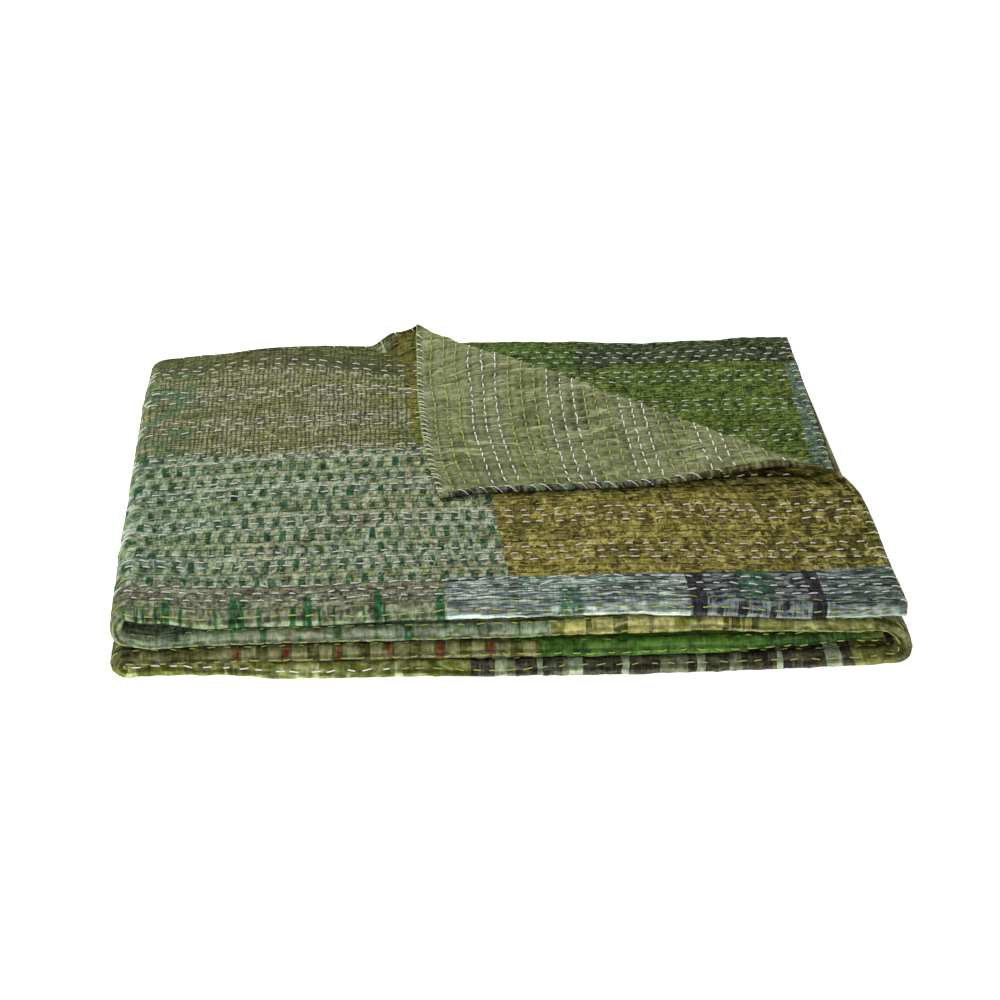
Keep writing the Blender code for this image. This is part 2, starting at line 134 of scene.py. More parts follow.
# How each layer lies along its front fold, at these places across the pile from the left.
STATIONS = (-0.225, -0.200, -0.170, -0.120, -0.060, 0.000, 0.055, 0.110, 0.165, 0.195, 0.225)
FRONT = {
    "top": (0.005, 0.001, -0.002, -0.001, 0.002, 0.002, 0.003, 0.000, -0.004, -0.004, -0.003),
    "second": (0.002, -0.002, -0.001, 0.000, 0.000, 0.000, 0.002, 0.003, 0.000, -0.002, 0.000),
    "third": (0.000, 0.000, 0.000, 0.000, 0.000, 0.000, -0.002, -0.001, 0.003, 0.006, 0.008),
    "bottom": (0.004, 0.007, 0.006, 0.000, 0.000, -0.002, -0.003, -0.002, 0.000, 0.002, 0.005),
}
RISE = {
    "top": (0.0020, 0.0016, 0.0002, 0.0, 0.0006, 0.0012, 0.0016, 0.0012, 0.0002, 0.0000, -0.0006),
    "second": (-0.0014, -0.0018, -0.0002, 0.0, 0.0004, 0.0008, 0.0012, 0.0010, 0.0004, 0.0004, 0.0),
    "third": (-0.0004, -0.0006, -0.0002, 0.0, 0.0002, 0.0002, 0.0004, 0.0004, 0.0010, 0.0012, -0.0002),
    "bottom": (0.0,) * len(STATIONS),
}
SQUEEZE = {
    "top": (0.78, 0.84, 1.0, 1.0, 1.0, 1.0, 1.0, 1.0, 0.97, 0.94, 0.92),
    "second": (0.74, 0.72, 0.98, 1.0, 1.0, 1.0, 1.0, 0.98, 0.90, 0.88, 0.92),
    "third": (0.95, 0.95, 1.0, 1.0, 1.0, 1.0, 1.0, 1.0, 0.88, 0.74, 0.86),
    "bottom": (1.0,) * len(STATIONS),
}
FRONT_REACH = 0.130
LEFT_DRIFT = 0.010
SUNK = {"top": 0.0052, "second": 0.0031, "third": 0.0011, "bottom": 0.0}
PRESSED = {"top": 0.80, "second": 0.80, "third": 0.88, "bottom": 1.0}
PRESSED_REACH = 0.085
CORNER_INSET = 0.010
BACK = (0.007, 0.007, 0.001, 0.006, 0.002, 0.008, 0.006, 0.001, 0.005, 0.009, 0.009)
BACK_REACH = 0.060
RIGHT_INSET = 0.0040
LOWER_INSET = 0.0075
INSET_FROM = -0.060
INSET_REACH = 0.040
RIGHT_LEAN = 0.015
LEAN_WIDTH = 0.070
SLOPE_STEP = 1e-4
UNDER_TOP = 3 * LAYER_PITCH
UNDER_TOP_GAP = 0.0018

# The hems stand back or reach out by these amounts.
HEM_AT = (0.0, ACROSS[1], ACROSS[3], ACROSS[4], *(ACROSS[4] + np.array(
    (0.08, 0.125, 0.150, 0.172, 0.206, 0.236, 0.296, 0.361))), CLOTH_WIDTH)
HEM_BACK = (0.012, 0.005, 0.002, 0.001, 0.003, 0.006, 0.017, 0.0260, 0.0243, 0.0235, 0.0227, 0.0205, 0.014)
HEM_REACH = 0.200
REACH_AT = (0.0, 0.02, 0.05, 0.08, 0.11, 0.14, 0.17, 0.20, 0.23, 0.27, 0.35)
REACH = (0.0106, 0.0130, 0.0155, 0.0168, 0.0174, 0.0164, 0.0140, 0.0100, 0.0052, 0.0006, 0.0)

# The turned corner: its fold line, and the roll along it.
FOLD_FROM = (-0.0508, 0.1905)
FOLD_SLANT = math.radians(44.0)
FOLD_LENGTH = (HEM_X - FOLD_FROM[0]) / math.cos(FOLD_SLANT)
FOLD_AXIS = (math.cos(FOLD_SLANT), -math.sin(FOLD_SLANT))
FOLD_NORMAL = (math.sin(FOLD_SLANT), math.cos(FOLD_SLANT))
ROLL_AT = (0.00, 0.06, 0.15, 0.23, 0.34, 0.51, 0.72, 0.86, 1.00)
ROLL = (0.0130, 0.0122, 0.0124, 0.0138, 0.0130, 0.0120, 0.0110, 0.0100, 0.0096)
DRAWN_UP = (0.0108, 0.0060, 0.0042, 0.0036, 0.0034, 0.0034, 0.0034, 0.0040, 0.0054)
DRAWN_REACH = (0.013, 0.018, 0.034, 0.050, 0.055, 0.055, 0.055, 0.055, 0.055)
BULGE = (-0.0085, -0.0075, -0.0055, -0.0030, -0.0005, 0.0000, 0.0000, 0.0000, 0.0000)
SETTLING = (0.045, 0.050, 0.060, 0.070, 0.075, 0.080, 0.080, 0.080, 0.080)
LYING_GAP = 0.0006


def smooth(share):
    """An S-shaped step from 0 to 1, level at both ends."""
    share = np.clip(share, 0.0, 1.0)
    return share * share * (3.0 - 2.0 * share)


def fade(value, start, over):
    """0 before start and 1 once value has gone over further, or the other way when over is negative."""
    return smooth((value - start) / over)


def across(t):
    """The cloth's place in the strip's section at the run t: depth y, height w, and the face's normal."""
    tucked, back, under, front, outer = (t - ACROSS[i] for i in range(5))
    turn_back = np.clip(back / BACK_TURN, 0.0, math.pi)
    turn_front = np.clip(front / FRONT_TURN, 0.0, math.pi)
    stretches = [t < ACROSS[1], t < ACROSS[2], t < ACROSS[3], t < ACROSS[4]]
    depth = np.select(
        stretches,
        [
            TUCKED_HEM + tucked,
            BACK_CENTRE + BACK_TURN * np.sin(turn_back),
            BACK_CENTRE - under,
            FRONT_CENTRE - FRONT_TURN * np.sin(turn_front),
        ],
        FRONT_CENTRE + outer,
    )
    height = np.select(
        stretches,
        [
            0.0 * t,
            BACK_TURN * (np.cos(turn_back) - 1.0),
            0.0 * t - PLY_PITCH,
            -FRONT_TURN * np.cos(turn_front),
        ],
        PLY_PITCH,
    )
    turned = turn_back + turn_front
    return depth, height, np.sin(turned), np.cos(turned)


def by_station(values, x):
    """A row of the layer tables, read at x with soft corners between its stations."""
    place = np.clip(np.interp(x, STATIONS, range(len(STATIONS))), 0, len(STATIONS) - 1.001)
    left = place.astype(int)
    low, high = np.take(values, left), np.take(values, left + 1)
    return low + (high - low) * smooth(place - left)


def lying(layer, x, y):
    """How a layer lies at a place: (height of its middle, thickness share, shift in depth)."""
    near_front = smooth((FRONT_REACH - (y + PILE_DEPTH / 2)) / FRONT_REACH)
    rise = by_station(RISE[layer], x) * near_front
    squeeze = 1.0 + (by_station(SQUEEZE[layer], x) - 1.0) * near_front
    shift = by_station(FRONT[layer], x) * near_front
    corner = smooth(1.0 - np.hypot(x + PILE_WIDTH / 2, y - PILE_DEPTH / 2) / PRESSED_REACH)
    rise = rise - SUNK[layer] * corner
    squeeze = squeeze * (1.0 - (1.0 - PRESSED[layer]) * corner)
    shift = shift - CORNER_INSET * corner
    if layer == "top":
        shift = shift + by_station(BACK, x) * smooth((y - PILE_DEPTH / 2) / BACK_REACH + 1.0)
    return LEVEL[layer] * LAYER_PITCH + STRIP / 2 + rise, squeeze, shift


def along(s, y):
    """The strip's middle at the run s and the depth y: x, z, thickness share and shift in depth."""
    x, z, squeeze, shift = (np.zeros_like(s) for _ in range(4))
    ends = {"top": (HEM_X, LEFT_X), "second": (LEFT_X, RIGHT_X),
            "bottom": (RIGHT_X, LEFT_X), "third": (LEFT_X, TUCKED_END_X)}
    for number, layer in enumerate(LAYERS):
        start, end = ALONG[2 * number], ALONG[2 * number + 1]
        last = number == len(LAYERS) - 1
        here = (s >= start if number else s > -1.0) & ((s < end) | last)
        lies_x = ends[layer][0] + (s - start) / (end - start) * (ends[layer][1] - ends[layer][0])
        found = lying(layer, lies_x, y)
        for result, value in zip((x, z, squeeze, shift), (lies_x, *found)):
            result[here] = value[here]
        if last:
            break
        turn_end = ALONG[2 * number + 2]
        turning = (s >= end) & (s < turn_end)
        share = (s - end) / (turn_end - end)
        edge_x = ends[layer][1] + 0.0 * s
        before, after = lying(layer, edge_x, y), lying(LAYERS[number + 1], edge_x, y)
        outwards = 1.0 if ends[layer][1] > 0 else -1.0
        reach = (turn_end - end) / math.pi
        middle, half = (before[0] + after[0]) / 2, (before[0] - after[0]) / 2
        bend = (
            edge_x + outwards * reach * np.sin(math.pi * share),
            middle + half * np.cos(math.pi * share),
            before[1] + (after[1] - before[1]) * share,
            before[2] + (after[2] - before[2]) * share,
        )
        for result, value in zip((x, z, squeeze, shift), bend):
            result[turning] = value[turning]
    return x, z, squeeze, shift


def past_fold(x, y):
    """How far a place on the flat top ply lies past the fold line, and its share of the line's length."""
    from_x, from_y = x - FOLD_FROM[0], y - FOLD_FROM[1]
    share = np.clip((from_x * FOLD_AXIS[0] + from_y * FOLD_AXIS[1]) / FOLD_LENGTH, 0.0, 1.0)
    return from_x * FOLD_NORMAL[0] + from_y * FOLD_NORMAL[1] - np.interp(share, ROLL_AT, BULGE), share


def turn_corner(x, y, h):
    """Turns back what lies past the fold line. x and y are places on the flat top ply, h is above it."""
    past, share = past_fold(x, y)
    bulge = np.interp(share, ROLL_AT, BULGE)
    radius = np.interp(share, ROLL_AT, ROLL) / 2
    drawn_up = np.interp(share, ROLL_AT, DRAWN_UP)
    drawn_reach = np.interp(share, ROLL_AT, DRAWN_REACH)
    settling = np.interp(share, ROLL_AT, SETTLING)
    angle = np.clip(past / radius, 0.0, math.pi)
    lying_past = np.maximum(past - math.pi * radius, 0.0)
    settled = smooth(lying_past / settling)
    lift = np.where(past > 0.0, 1.0 - settled, smooth(1.0 + past / drawn_reach)) * drawn_up
    lying_past = lying_past + 2.0 * bulge * smooth(lying_past / (2.0 * settling))
    reach = np.where(past > 0.0, (radius - h) * np.sin(angle) - lying_past, past)
    height = np.where(past > 0.0, radius - (radius - h) * np.cos(angle), h)
    height = height - settled * (2 * radius - CLOTH - LYING_GAP)
    moved = reach - past
    return x + moved * FOLD_NORMAL[0], y + moved * FOLD_NORMAL[1], height + lift


def right_drift(x, y, z):
    """How far a place near the right end stands in from where the plain folds would put it."""
    lower = smooth((UNDER_TOP - z) / UNDER_TOP_GAP)
    inset = (RIGHT_INSET + LOWER_INSET * lower) * smooth((y - INSET_FROM) / INSET_REACH)
    lean = RIGHT_LEAN * lower * (z / UNDER_TOP - 0.5) * smooth((x - RIGHT_X) / LEAN_WIDTH + 1.0)
    return inset * smooth(2 * x / PILE_WIDTH) + lean


def fold(s, t, h):
    """The place in the pile of the flat cloth's points at the runs s and t and the height h."""
    outer_share = (t - ACROSS[4]) / (CLOTH_WIDTH - ACROSS[4])
    reach = np.interp(s, REACH_AT, REACH) * smooth(outer_share)
    s, t = s + np.interp(t, HEM_AT, HEM_BACK) * smooth(1.0 - s / HEM_REACH), t + reach
    y, w, normal_y, normal_w = across(t)
    y, w = y + normal_y * h, w + normal_w * h
    on_top = (s < ALONG[1]) & (t > ACROSS[4])
    x_turned, y_turned, h_turned = turn_corner(HEM_X - s, y, w - PLY_PITCH)
    s = np.where(on_top, HEM_X - x_turned, s)
    y = np.where(on_top, y_turned, y)
    w = np.where(on_top, h_turned + PLY_PITCH, w)
    x, z, squeeze, shift = along(s, y)
    x_before, z_before, _, _ = along(s - SLOPE_STEP, y)
    x_after, z_after, _, _ = along(s + SLOPE_STEP, y)
    run = np.hypot(x_after - x_before, z_after - z_before)
    normal_x, normal_z = (z_after - z_before) / run, -(x_after - x_before) / run
    x, z = x + normal_x * w * squeeze, z + normal_z * w * squeeze
    left_drift = LEFT_DRIFT * smooth(-2 * x / PILE_WIDTH) * (y / PILE_DEPTH + 0.5)
    places = np.stack([x - left_drift - right_drift(x, y, z), y + shift, z], axis=-1) - MIDDLE
    places[..., 2] = np.maximum(places[..., 2], 0.0)
    return places


# ---------------------------------------------------------------- relief of the stitched cloth
STITCH_PITCH = 0.0102
FACE_SHARE = 0.52
ROW_DEPTH = 0.00085
VALLEY_WIDTH = 0.22
FRONT_FACE, REVERSE = 1, -1

# How far the stitch rows stray from straight lines, in rows, and the size of a bend along and across.
WANDER = 0.34
BEND_ALONG, BEND_ACROSS = 0.050, 0.022

# Towards the pile's left back corner, and under the turned corner, the stitch rows and the pattern
# sag from straight runs: (run along, sag). On the turned corner they sag by up to its own amount.
LEFT_SAG = ((0.30, 0.0), (0.34, 0.0015), (0.38, 0.0045), (0.41, 0.0085), (0.44, 0.0125), (0.47, 0.0150))
RIGHT_SAG = ((-0.02, 0.0085), (0.01, 0.0070), (0.04, 0.0040), (0.09, 0.0))
CORNER_SAG = 0.020
# Where each sag comes in or goes out: (from, over how far).
LEFT_IN_T, LEFT_OUT_S = (0.84, 0.09), (0.52, -0.05)
RIGHT_IN_T, RIGHT_OUT_T = (0.87, 0.03), (0.96, -0.02)
CORNER_IN_T, CORNER_WIDENS_T = (0.94, 0.20), (1.09, 0.05)
CORNER_FROM, CORNER_WIDENING, CORNER_OUT = 0.28, 0.10, 0.10

# The creases between the rows on each side: the crests' size along and across, how much they wind, the
# run across over which they lean by one size, the lumps' size along and across and how they follow the
# rows, the height, the crests' share, the level, how much the rows flatten them, and the seed.
Creases = namedtuple("Creases", (
    "long", "tall", "winding", "leaning", "lump_long", "lump_tall", "follow",
    "height", "crests", "level", "held", "seed"))
CREASES = {
    FRONT_FACE: Creases(0.0090, 0.0180, 1.0, 0.060, 0.0052, 0.0060, 0.5, 0.00080, 0.8, 0.55, 0.45, 1.0),
    REVERSE: Creases(0.0100, 0.0300, 1.6, math.inf, 0.0058, 0.0090, 0.0, 0.00075, 0.9, 0.60, 0.35, 7.0),
}
WIND_ALONG, WIND_ACROSS = 0.060, 0.045


def scatter(number, seed):
    """A repeatable number from 0 to 1 for each number."""
    value = np.sin(np.asarray(number, float) * 12.9898 + seed * 78.233) * 43758.5453
    return value - np.floor(value)


def noise(x, y, seed):
    """Smooth noise from 0 to 1, with a feature size of 1."""
    left, low = np.floor(x), np.floor(y)
    share_x, share_y = smooth(x - left), smooth(y - low)

    def corner(i, j):
        return scatter((left + i) * 1.0 + (low + j) * 57.0, seed)

    bottom = corner(0, 0) * (1 - share_x) + corner(1, 0) * share_x
    top = corner(0, 1) * (1 - share_x) + corner(1, 1) * share_x
    return bottom * (1 - share_y) + top * share_y


def ridges(x, y, seed):
    """Crests that wind about a feature size apart: 1 on them, falling to 0."""
    return np.clip(1.0 - 2.6 * np.abs(noise(x, y, seed) - 0.5), 0.0, 1.0)


def sag(s, t):
    """How far the rows lie below straight runs across, on the top layer."""
    left = np.interp(s, *zip(*LEFT_SAG)) * fade(t, *LEFT_IN_T) * fade(s, *LEFT_OUT_S)
    right = np.interp(s, *zip(*RIGHT_SAG)) * fade(t, *RIGHT_IN_T) * fade(t, *RIGHT_OUT_T)
    corner_from = CORNER_FROM + CORNER_WIDENING * fade(t, *CORNER_WIDENS_T)
    corner = CORNER_SAG * fade(t, *CORNER_IN_T) * smooth((corner_from - s) / CORNER_OUT)
    return left + right + corner


def wander(s, t):
    return WANDER * (noise(s / BEND_ALONG, t / BEND_ACROSS, 3.0) - 0.5)


def row_place(s, t):
    """The run across in stitch rows: whole numbers are rows."""
    return (t + sag(s, t) - ROW_FROM) / ROW_PITCH - wander(s, t)


def row_run(row, s):
    """The run across of a row at the run s."""
    straight = ROW_FROM + row * ROW_PITCH
    return straight + wander(s, straight) * ROW_PITCH - sag(s, straight)


def stitch_phase(row):
    return scatter(row, 11.0)


def relief(s, t, side):
    """How far the surface stands from its level place, and how hollow it is there, from 0 to 1."""
    place = row_place(s, t)
    row = np.round(place)
    off = place - row
    valley = np.exp(-(off / VALLEY_WIDTH) ** 2)
    beat = s / STITCH_PITCH - stitch_phase(row)
    beat = np.abs(beat - np.round(beat)) * 2.0
    held = smooth((FACE_SHARE + 0.18 - beat) / 0.36)
    held = held if side == FRONT_FACE else 1.0 - held
    c = CREASES[side]
    winding = 0.9 * noise(s / WIND_ALONG, t / WIND_ACROSS, 5.0)
    crest = ridges(s / c.long + winding * c.winding + t / c.leaning, t / c.tall, c.seed)
    lump = noise(s / c.lump_long - off * c.follow, t / c.lump_tall, c.seed + 1.0) - 0.5
    height = c.height * (c.crests * crest + 0.5 * lump - c.level) * (1.0 - c.held * valley)
    height = height - ROW_DEPTH * valley * (0.30 + 0.70 * held)
    return height, np.clip(0.10 - height / (ROW_DEPTH * 1.5), 0.0, 1.0)


# The rim is thinner than the cloth. The rolled hem along the cloth's first run has beads between its
# whipped stitches, on the reverse.
RIM_THINNING, RIM_WIDTH = 0.34, 0.0016
BEAD_PITCH = 0.0096
BEAD, BEAD_FROM_HEM, BEAD_REACH = 0.0009, 0.0022, 0.0030
BEAD_ROUNDNESS = 0.6
CALM_HEM = 0.004


def surface(s, t, side):
    """The height h of a face of the cloth, and how hollow it is there."""
    height, hollow = relief(s, t, side)
    rim = np.minimum(np.minimum(s, CLOTH_LENGTH - s), np.minimum(t, CLOTH_WIDTH - t))
    thin = 1.0 - RIM_THINNING * smooth(1.0 - rim / RIM_WIDTH)
    if side == REVERSE:
        bead = np.abs(np.sin(math.pi * t / BEAD_PITCH)) ** BEAD_ROUNDNESS
        bead = smooth(1.0 - np.abs(s - BEAD_FROM_HEM) / BEAD_REACH) * bead
        height = height * smooth(rim / CALM_HEM) + BEAD * bead * (t > ACROSS[4])
    return side * (CLOTH / 2 * thin + height), hollow


# ---------------------------------------------------------------- the mesh of the sheet
# Where the patches' seams lie, where they aren't straight along the cloth's runs. Each is
# (runs along or across, its usual place, its window along itself, (run, place) pairs).
SEAMS = (
    ("t", 1.006, (0.262, 0.470), ((0.277, 1.0125), (0.311, 1.0095), (0.349, 1.0065),
                                  (0.386, 1.0035), (0.420, 1.0015), (0.443, 0.9995))),
    ("t", 0.829, (-0.010, 0.470), ((0.003, 0.8375), (0.054, 0.8345), (0.114, 0.8295),
                                   (0.172, 0.8265), (0.262, 0.8280), (0.345, 0.8250))),
    ("s", 0.228, (0.815, 0.960), ((0.8275, 0.225), (0.8755, 0.228), (0.9295, 0.231))),
    ("s", 0.280, (1.000, 1.190), ((1.0055, 0.275), (1.0375, 0.279), (1.0855, 0.281),
                                  (1.1325, 0.283), (1.1655, 0.287))),
    ("t", 0.350, (-0.010, 0.300), ((0.009, 0.349), (0.072, 0.353), (0.116, 0.353), (0.160, 0.339))),
    ("s", 0.010, (0.150, 0.352), ((0.203, 0.0115), (0.283, 0.0095), (0.344, 0.0080))),
)
SEAM_SPREAD = 0.016
SEAM_FADE = 0.012
SEAM_WAVER, WAVER_SIZE = 0.0005, 0.007

# Cells of the lattice: on the flat stretches, on the plies, on the turns along, on the back and front
# turns across, and in a tile.
FLAT_CELLS, PLY_CELLS = 176, 240
TURN_CELLS = (8, 16, 8)
BACK_CELLS, FRONT_CELLS = 5, 8
TILE = 8
# How many tiles make up each block, from one end of a flat stretch to the other.
FLAT_BLOCKS = (1, 1, 1, 4, 4, 4, 4, 1, 1, 1)
PLY_BLOCKS = (1, 1, 2, 4, 4, 5, 4, 4, 2, 1, 1, 1)


def lattice_lines(stretches):
    """Places of the lattice's lines, and blocks of tiles, each a list of line numbers.

    A stretch is (start, end, cells, cells in each tile of its blocks).
    """
    places, blocks = [], []
    for start, end, cells, tiles_in_blocks, tile in stretches:
        at = len(places)
        for tiles in tiles_in_blocks:
            blocks.append([at + tile * k for k in range(tiles + 1)])
            at += tile * tiles
        places += list(np.linspace(start, end, cells + 1)[:-1])
    return np.array(places + [stretches[-1][1]]), blocks


def lattice():
    along_runs = []
    for number in range(4):
        along_runs.append((ALONG[2 * number], ALONG[2 * number + 1], FLAT_CELLS, FLAT_BLOCKS, TILE))
        for cells in TURN_CELLS[number:number + 1]:
            along_runs.append((ALONG[2 * number + 1], ALONG[2 * number + 2], cells, (1,) * (cells // 2), 2))
    across_runs = (
        (0.0, ACROSS[1], PLY_CELLS, PLY_BLOCKS, TILE),
        (ACROSS[1], ACROSS[2], BACK_CELLS, (1,) * BACK_CELLS, 1),
        (ACROSS[2], ACROSS[3], PLY_CELLS, PLY_BLOCKS, TILE),
        (ACROSS[3], ACROSS[4], FRONT_CELLS, (1,) * (FRONT_CELLS // 2), 2),
        (ACROSS[4], CLOTH_WIDTH, PLY_CELLS, PLY_BLOCKS, TILE),
    )
    return lattice_lines(along_runs), lattice_lines(across_runs)


# The tucked ply shows behind the turned corner from this run, and this far under it.
TUCKED_SHOWS_FROM = 0.10
UNDER_CORNER = 0.014


def revealed_to(t):
    """How far along the tucked ply shows behind the turned corner, at the run t."""
    y = TUCKED_HEM + t
    return HEM_X - FOLD_FROM[0] + (y - FOLD_FROM[1]) * FOLD_AXIS[0] / -FOLD_AXIS[1] + UNDER_CORNER


def past_flat(s, t):
    """How far a place of the outer ply lies past the fold line of the turned corner."""
    return past_fold(HEM_X - s, t - ACROSS[4] + FRONT_CENTRE)[0]


def face_shows(s, t, left, front, hem, past, below, above, tucked, revealed, turns):
    """Whether the patchwork face shows at a place of the flat cloth.

    The margins are the outer ply's left end, front, hem and fold line, the front bands' two sides, the
    tucked ply's back fold and its reach under the turned corner, and the low turns' ends.
    """
    top = (s < ALONG[2] + left) & (t > ACROSS[4] - front) & (t < CLOTH_WIDTH - hem) & (past_flat(s, t) < past)
    bands = (t > ACROSS[3] - below) & (t < ACROSS[4] + above)
    under_corner = (t > TUCKED_SHOWS_FROM) & (t < ACROSS[1] + tucked) & (s < revealed_to(t) + revealed)
    low_turns = [(s > ALONG[k] - turns) & (s < ALONG[k + 1] + turns) for k in (3, 5)]
    low_folds = (low_turns[0] | low_turns[1]) & (t > ACROSS[2]) & (t < ACROSS[3])
    return top | bands | under_corner | low_folds


def fine_face(s, t):
    """Whether the face needs the fine mesh at a place."""
    shows = face_shows(s, t, left=0.006, front=0.001, hem=-0.001, past=0.016, below=0.006, above=0.012,
                       tucked=0.001, revealed=0.0, turns=0.004)
    tucked_hem = (t > TUCKED_SHOWS_FROM) & (t < ACROSS[1] + 0.001) & (s < 0.012)
    back = (t > ACROSS[1] - 0.004) & (t < ACROSS[2] + 0.004)
    return shows | tucked_hem | back


def fine_reverse(s, t):
    """Whether the plain reverse shows at a place."""
    return (s < ALONG[1]) & (t > ACROSS[4]) & (past_flat(s, t) > -0.002)


def move_seams(s_lines, t_lines):
    """The lattice's points, moved so that the lines nearest to the seams lie on them."""
    s, t = np.meshgrid(s_lines, t_lines, indexing="ij")
    moved_s, moved_t = s.copy(), t.copy()
    for runs, usual, window, places in SEAMS:
        own, other, lines, moved = (t, s, t_lines, moved_t) if runs == "t" else (s, t, s_lines, moved_s)
        line = lines[np.argmin(np.abs(lines - usual))]
        run, place = zip(*places)
        target = np.interp(other, run, place)
        waver = noise(other / WAVER_SIZE, other * 0.0 + usual * 100.0, 9.0) - 0.5
        target = target + SEAM_WAVER * waver * 2
        near = smooth(1.0 - np.abs(own - line) / SEAM_SPREAD)
        inside = fade(other, window[0], SEAM_FADE) * fade(other, window[1], -SEAM_FADE)
        moved += (target - line) * near * inside
    return moved_s, moved_t


def ring_round(i, next_i, j, next_j, used):
    """The used lattice points round a rectangle of the lattice, in order."""
    ring = [(a, j) for a in range(i, next_i)] + [(next_i, b) for b in range(j, next_j)]
    ring += [(a, next_j) for a in range(next_i, i, -1)] + [(i, b) for b in range(next_j, j, -1)]
    return [point for point in ring if used[point]]


def tiles_of(s_blocks, t_blocks, s_lines, t_lines, shows):
    """The rectangles of the lattice: (i, next i, j, next j, whether it is fine)."""
    tiles = []
    for s_block in s_blocks:
        for t_block in t_blocks:
            inner = [(i, next_i, j, next_j) for i, next_i in zip(s_block, s_block[1:])
                     for j, next_j in zip(t_block, t_block[1:])]
            corners = np.array(inner)
            s_middles = (s_lines[corners[:, 0]] + s_lines[corners[:, 1]]) / 2
            t_middles = (t_lines[corners[:, 2]] + t_lines[corners[:, 3]]) / 2
            fine = shows(s_middles, t_middles)
            curved = s_middles.min() < ALONG[1] and t_middles.max() > ACROSS[4]
            if fine.any() or curved:
                tiles += [(*tile, bool(is_fine)) for tile, is_fine in zip(inner, fine)]
            else:
                tiles.append((s_block[0], s_block[-1], t_block[0], t_block[-1], False))
    return tiles


def used_points(tiles, shape):
    used = np.zeros(shape, bool)
    for i, next_i, j, next_j, fine in tiles:
        step_i, step_j = (1, 1) if fine else (next_i - i, next_j - j)
        used[i:next_i + 1:step_i, j:next_j + 1:step_j] = True
    return used


def side_faces(tiles, used):
    """Faces of one side: small quads in fine tiles, and one polygon for every other tile."""
    faces = []
    for i, next_i, j, next_j, fine in tiles:
        if fine:
            faces += [((p, q), (p, q + 1), (p + 1, q + 1), (p + 1, q))
                      for p in range(i, next_i) for q in range(j, next_j)]
        else:
            faces.append(ring_round(i, next_i, j, next_j, used)[::-1])
    return faces


RIM_BULGE = 0.0007
RIM_HEIGHTS = (0.45, 0.0, -0.45)
RIM_LUMP = 0.004
RIM_HOLLOW = 0.3


def smooth_mesh(name, points, faces):
    mesh = bpy.data.meshes.new(name)
    mesh.from_pydata(points.tolist(), [], faces)
    mesh.update()
    mesh.shade_smooth()
    return mesh


def cloth_mesh(names):
    """The whole sheet as one closed mesh. names are the materials, in the order of their numbers."""
    (s_lines, s_blocks), (t_lines, t_blocks) = lattice()
    shape = (len(s_lines), len(t_lines))
    s_points, t_points = move_seams(s_lines, t_lines)
    tiles = {side: tiles_of(s_blocks, t_blocks, s_lines, t_lines, shows)
             for side, shows in ((FRONT_FACE, fine_face), (REVERSE, fine_reverse))}
    used = {side: used_points(tiles[side], shape) for side in tiles}
    last_i, last_j = shape[0] - 1, shape[1] - 1
    ring = ring_round(0, last_i, 0, last_j, used[FRONT_FACE] | used[REVERSE])
    for point in ring:
        used[FRONT_FACE][point] = used[REVERSE][point] = True

    points, faces, centres, sides = [], [], [], []
    number = {}
    first = 0
    for side in (FRONT_FACE, REVERSE):
        index = np.full(shape, -1)
        index[used[side]] = first + np.arange(used[side].sum())
        s, t = s_points[used[side]], t_points[used[side]]
        h, hollow = surface(s, t, side)
        points.append((fold(s, t, h), np.stack([s, t + sag(s, t)], -1), hollow, row_place(s, t)))
        number[side] = index
        first += len(s)
        for face in side_faces(tiles[side], used[side]):
            numbers = [int(index[point]) for point in face]
            faces.append(numbers if side == FRONT_FACE else numbers[::-1])
            i, j = np.array(face).T
            centres.append((s_lines[i].mean(), t_lines[j].mean()))
            sides.append(side)

    # The rim: rounded walls between the two sides.
    i, j = np.array(ring).T
    s, t = s_points[i, j], t_points[i, j]
    out_s = (i == last_i) * 1.0 - (i == 0) * 1.0
    out_t = (j == last_j) * 1.0 - (j == 0) * 1.0
    loops = [[int(number[FRONT_FACE][point]) for point in ring]]
    lump = 0.8 + 0.5 * noise((s + t) / RIM_LUMP, s * 0.0, 6.0)
    for share in RIM_HEIGHTS:
        bulge = RIM_BULGE * math.sqrt(1.0 - share * share) * lump
        rim_s, rim_t = s + out_s * bulge, t + out_t * bulge
        place = fold(rim_s, rim_t, np.full(len(s), share * CLOTH))
        flat = np.stack([rim_s, rim_t + sag(s, t)], -1)
        points.append((place, flat, np.full(len(s), RIM_HOLLOW), row_place(s, t)))
        loops.append(list(range(first, first + len(s))))
        first += len(s)
    loops.append([int(number[REVERSE][point]) for point in ring])
    for upper, lower, side in zip(loops, loops[1:], (FRONT_FACE, FRONT_FACE, REVERSE, REVERSE)):
        for k in range(len(ring)):
            n = (k + 1) % len(ring)
            faces.append([upper[k], upper[n], lower[n], lower[k]])
            centres.append((s[k], t[k]))
            sides.append(side)

    places, flats, hollows, rows = (np.concatenate(part) for part in zip(*points))
    mesh = smooth_mesh("quilt_cloth", places, faces)
    numbers = patch_numbers(names, *np.array(centres).T, np.array(sides))
    mesh.polygons.foreach_set("material_index", numbers.astype(np.int32))
    corners = np.empty(len(mesh.loops), np.int32)
    mesh.loops.foreach_get("vertex_index", corners)
    uv = mesh.uv_layers.new(name="flat")
    uv.data.foreach_set("uv", flats[corners].astype(np.float32).ravel())
    for name, values in (("hollow", hollows), ("row", rows)):
        attribute = mesh.attributes.new(name, "FLOAT", "POINT")
        attribute.data.foreach_set("value", values.astype(np.float32))
    return mesh


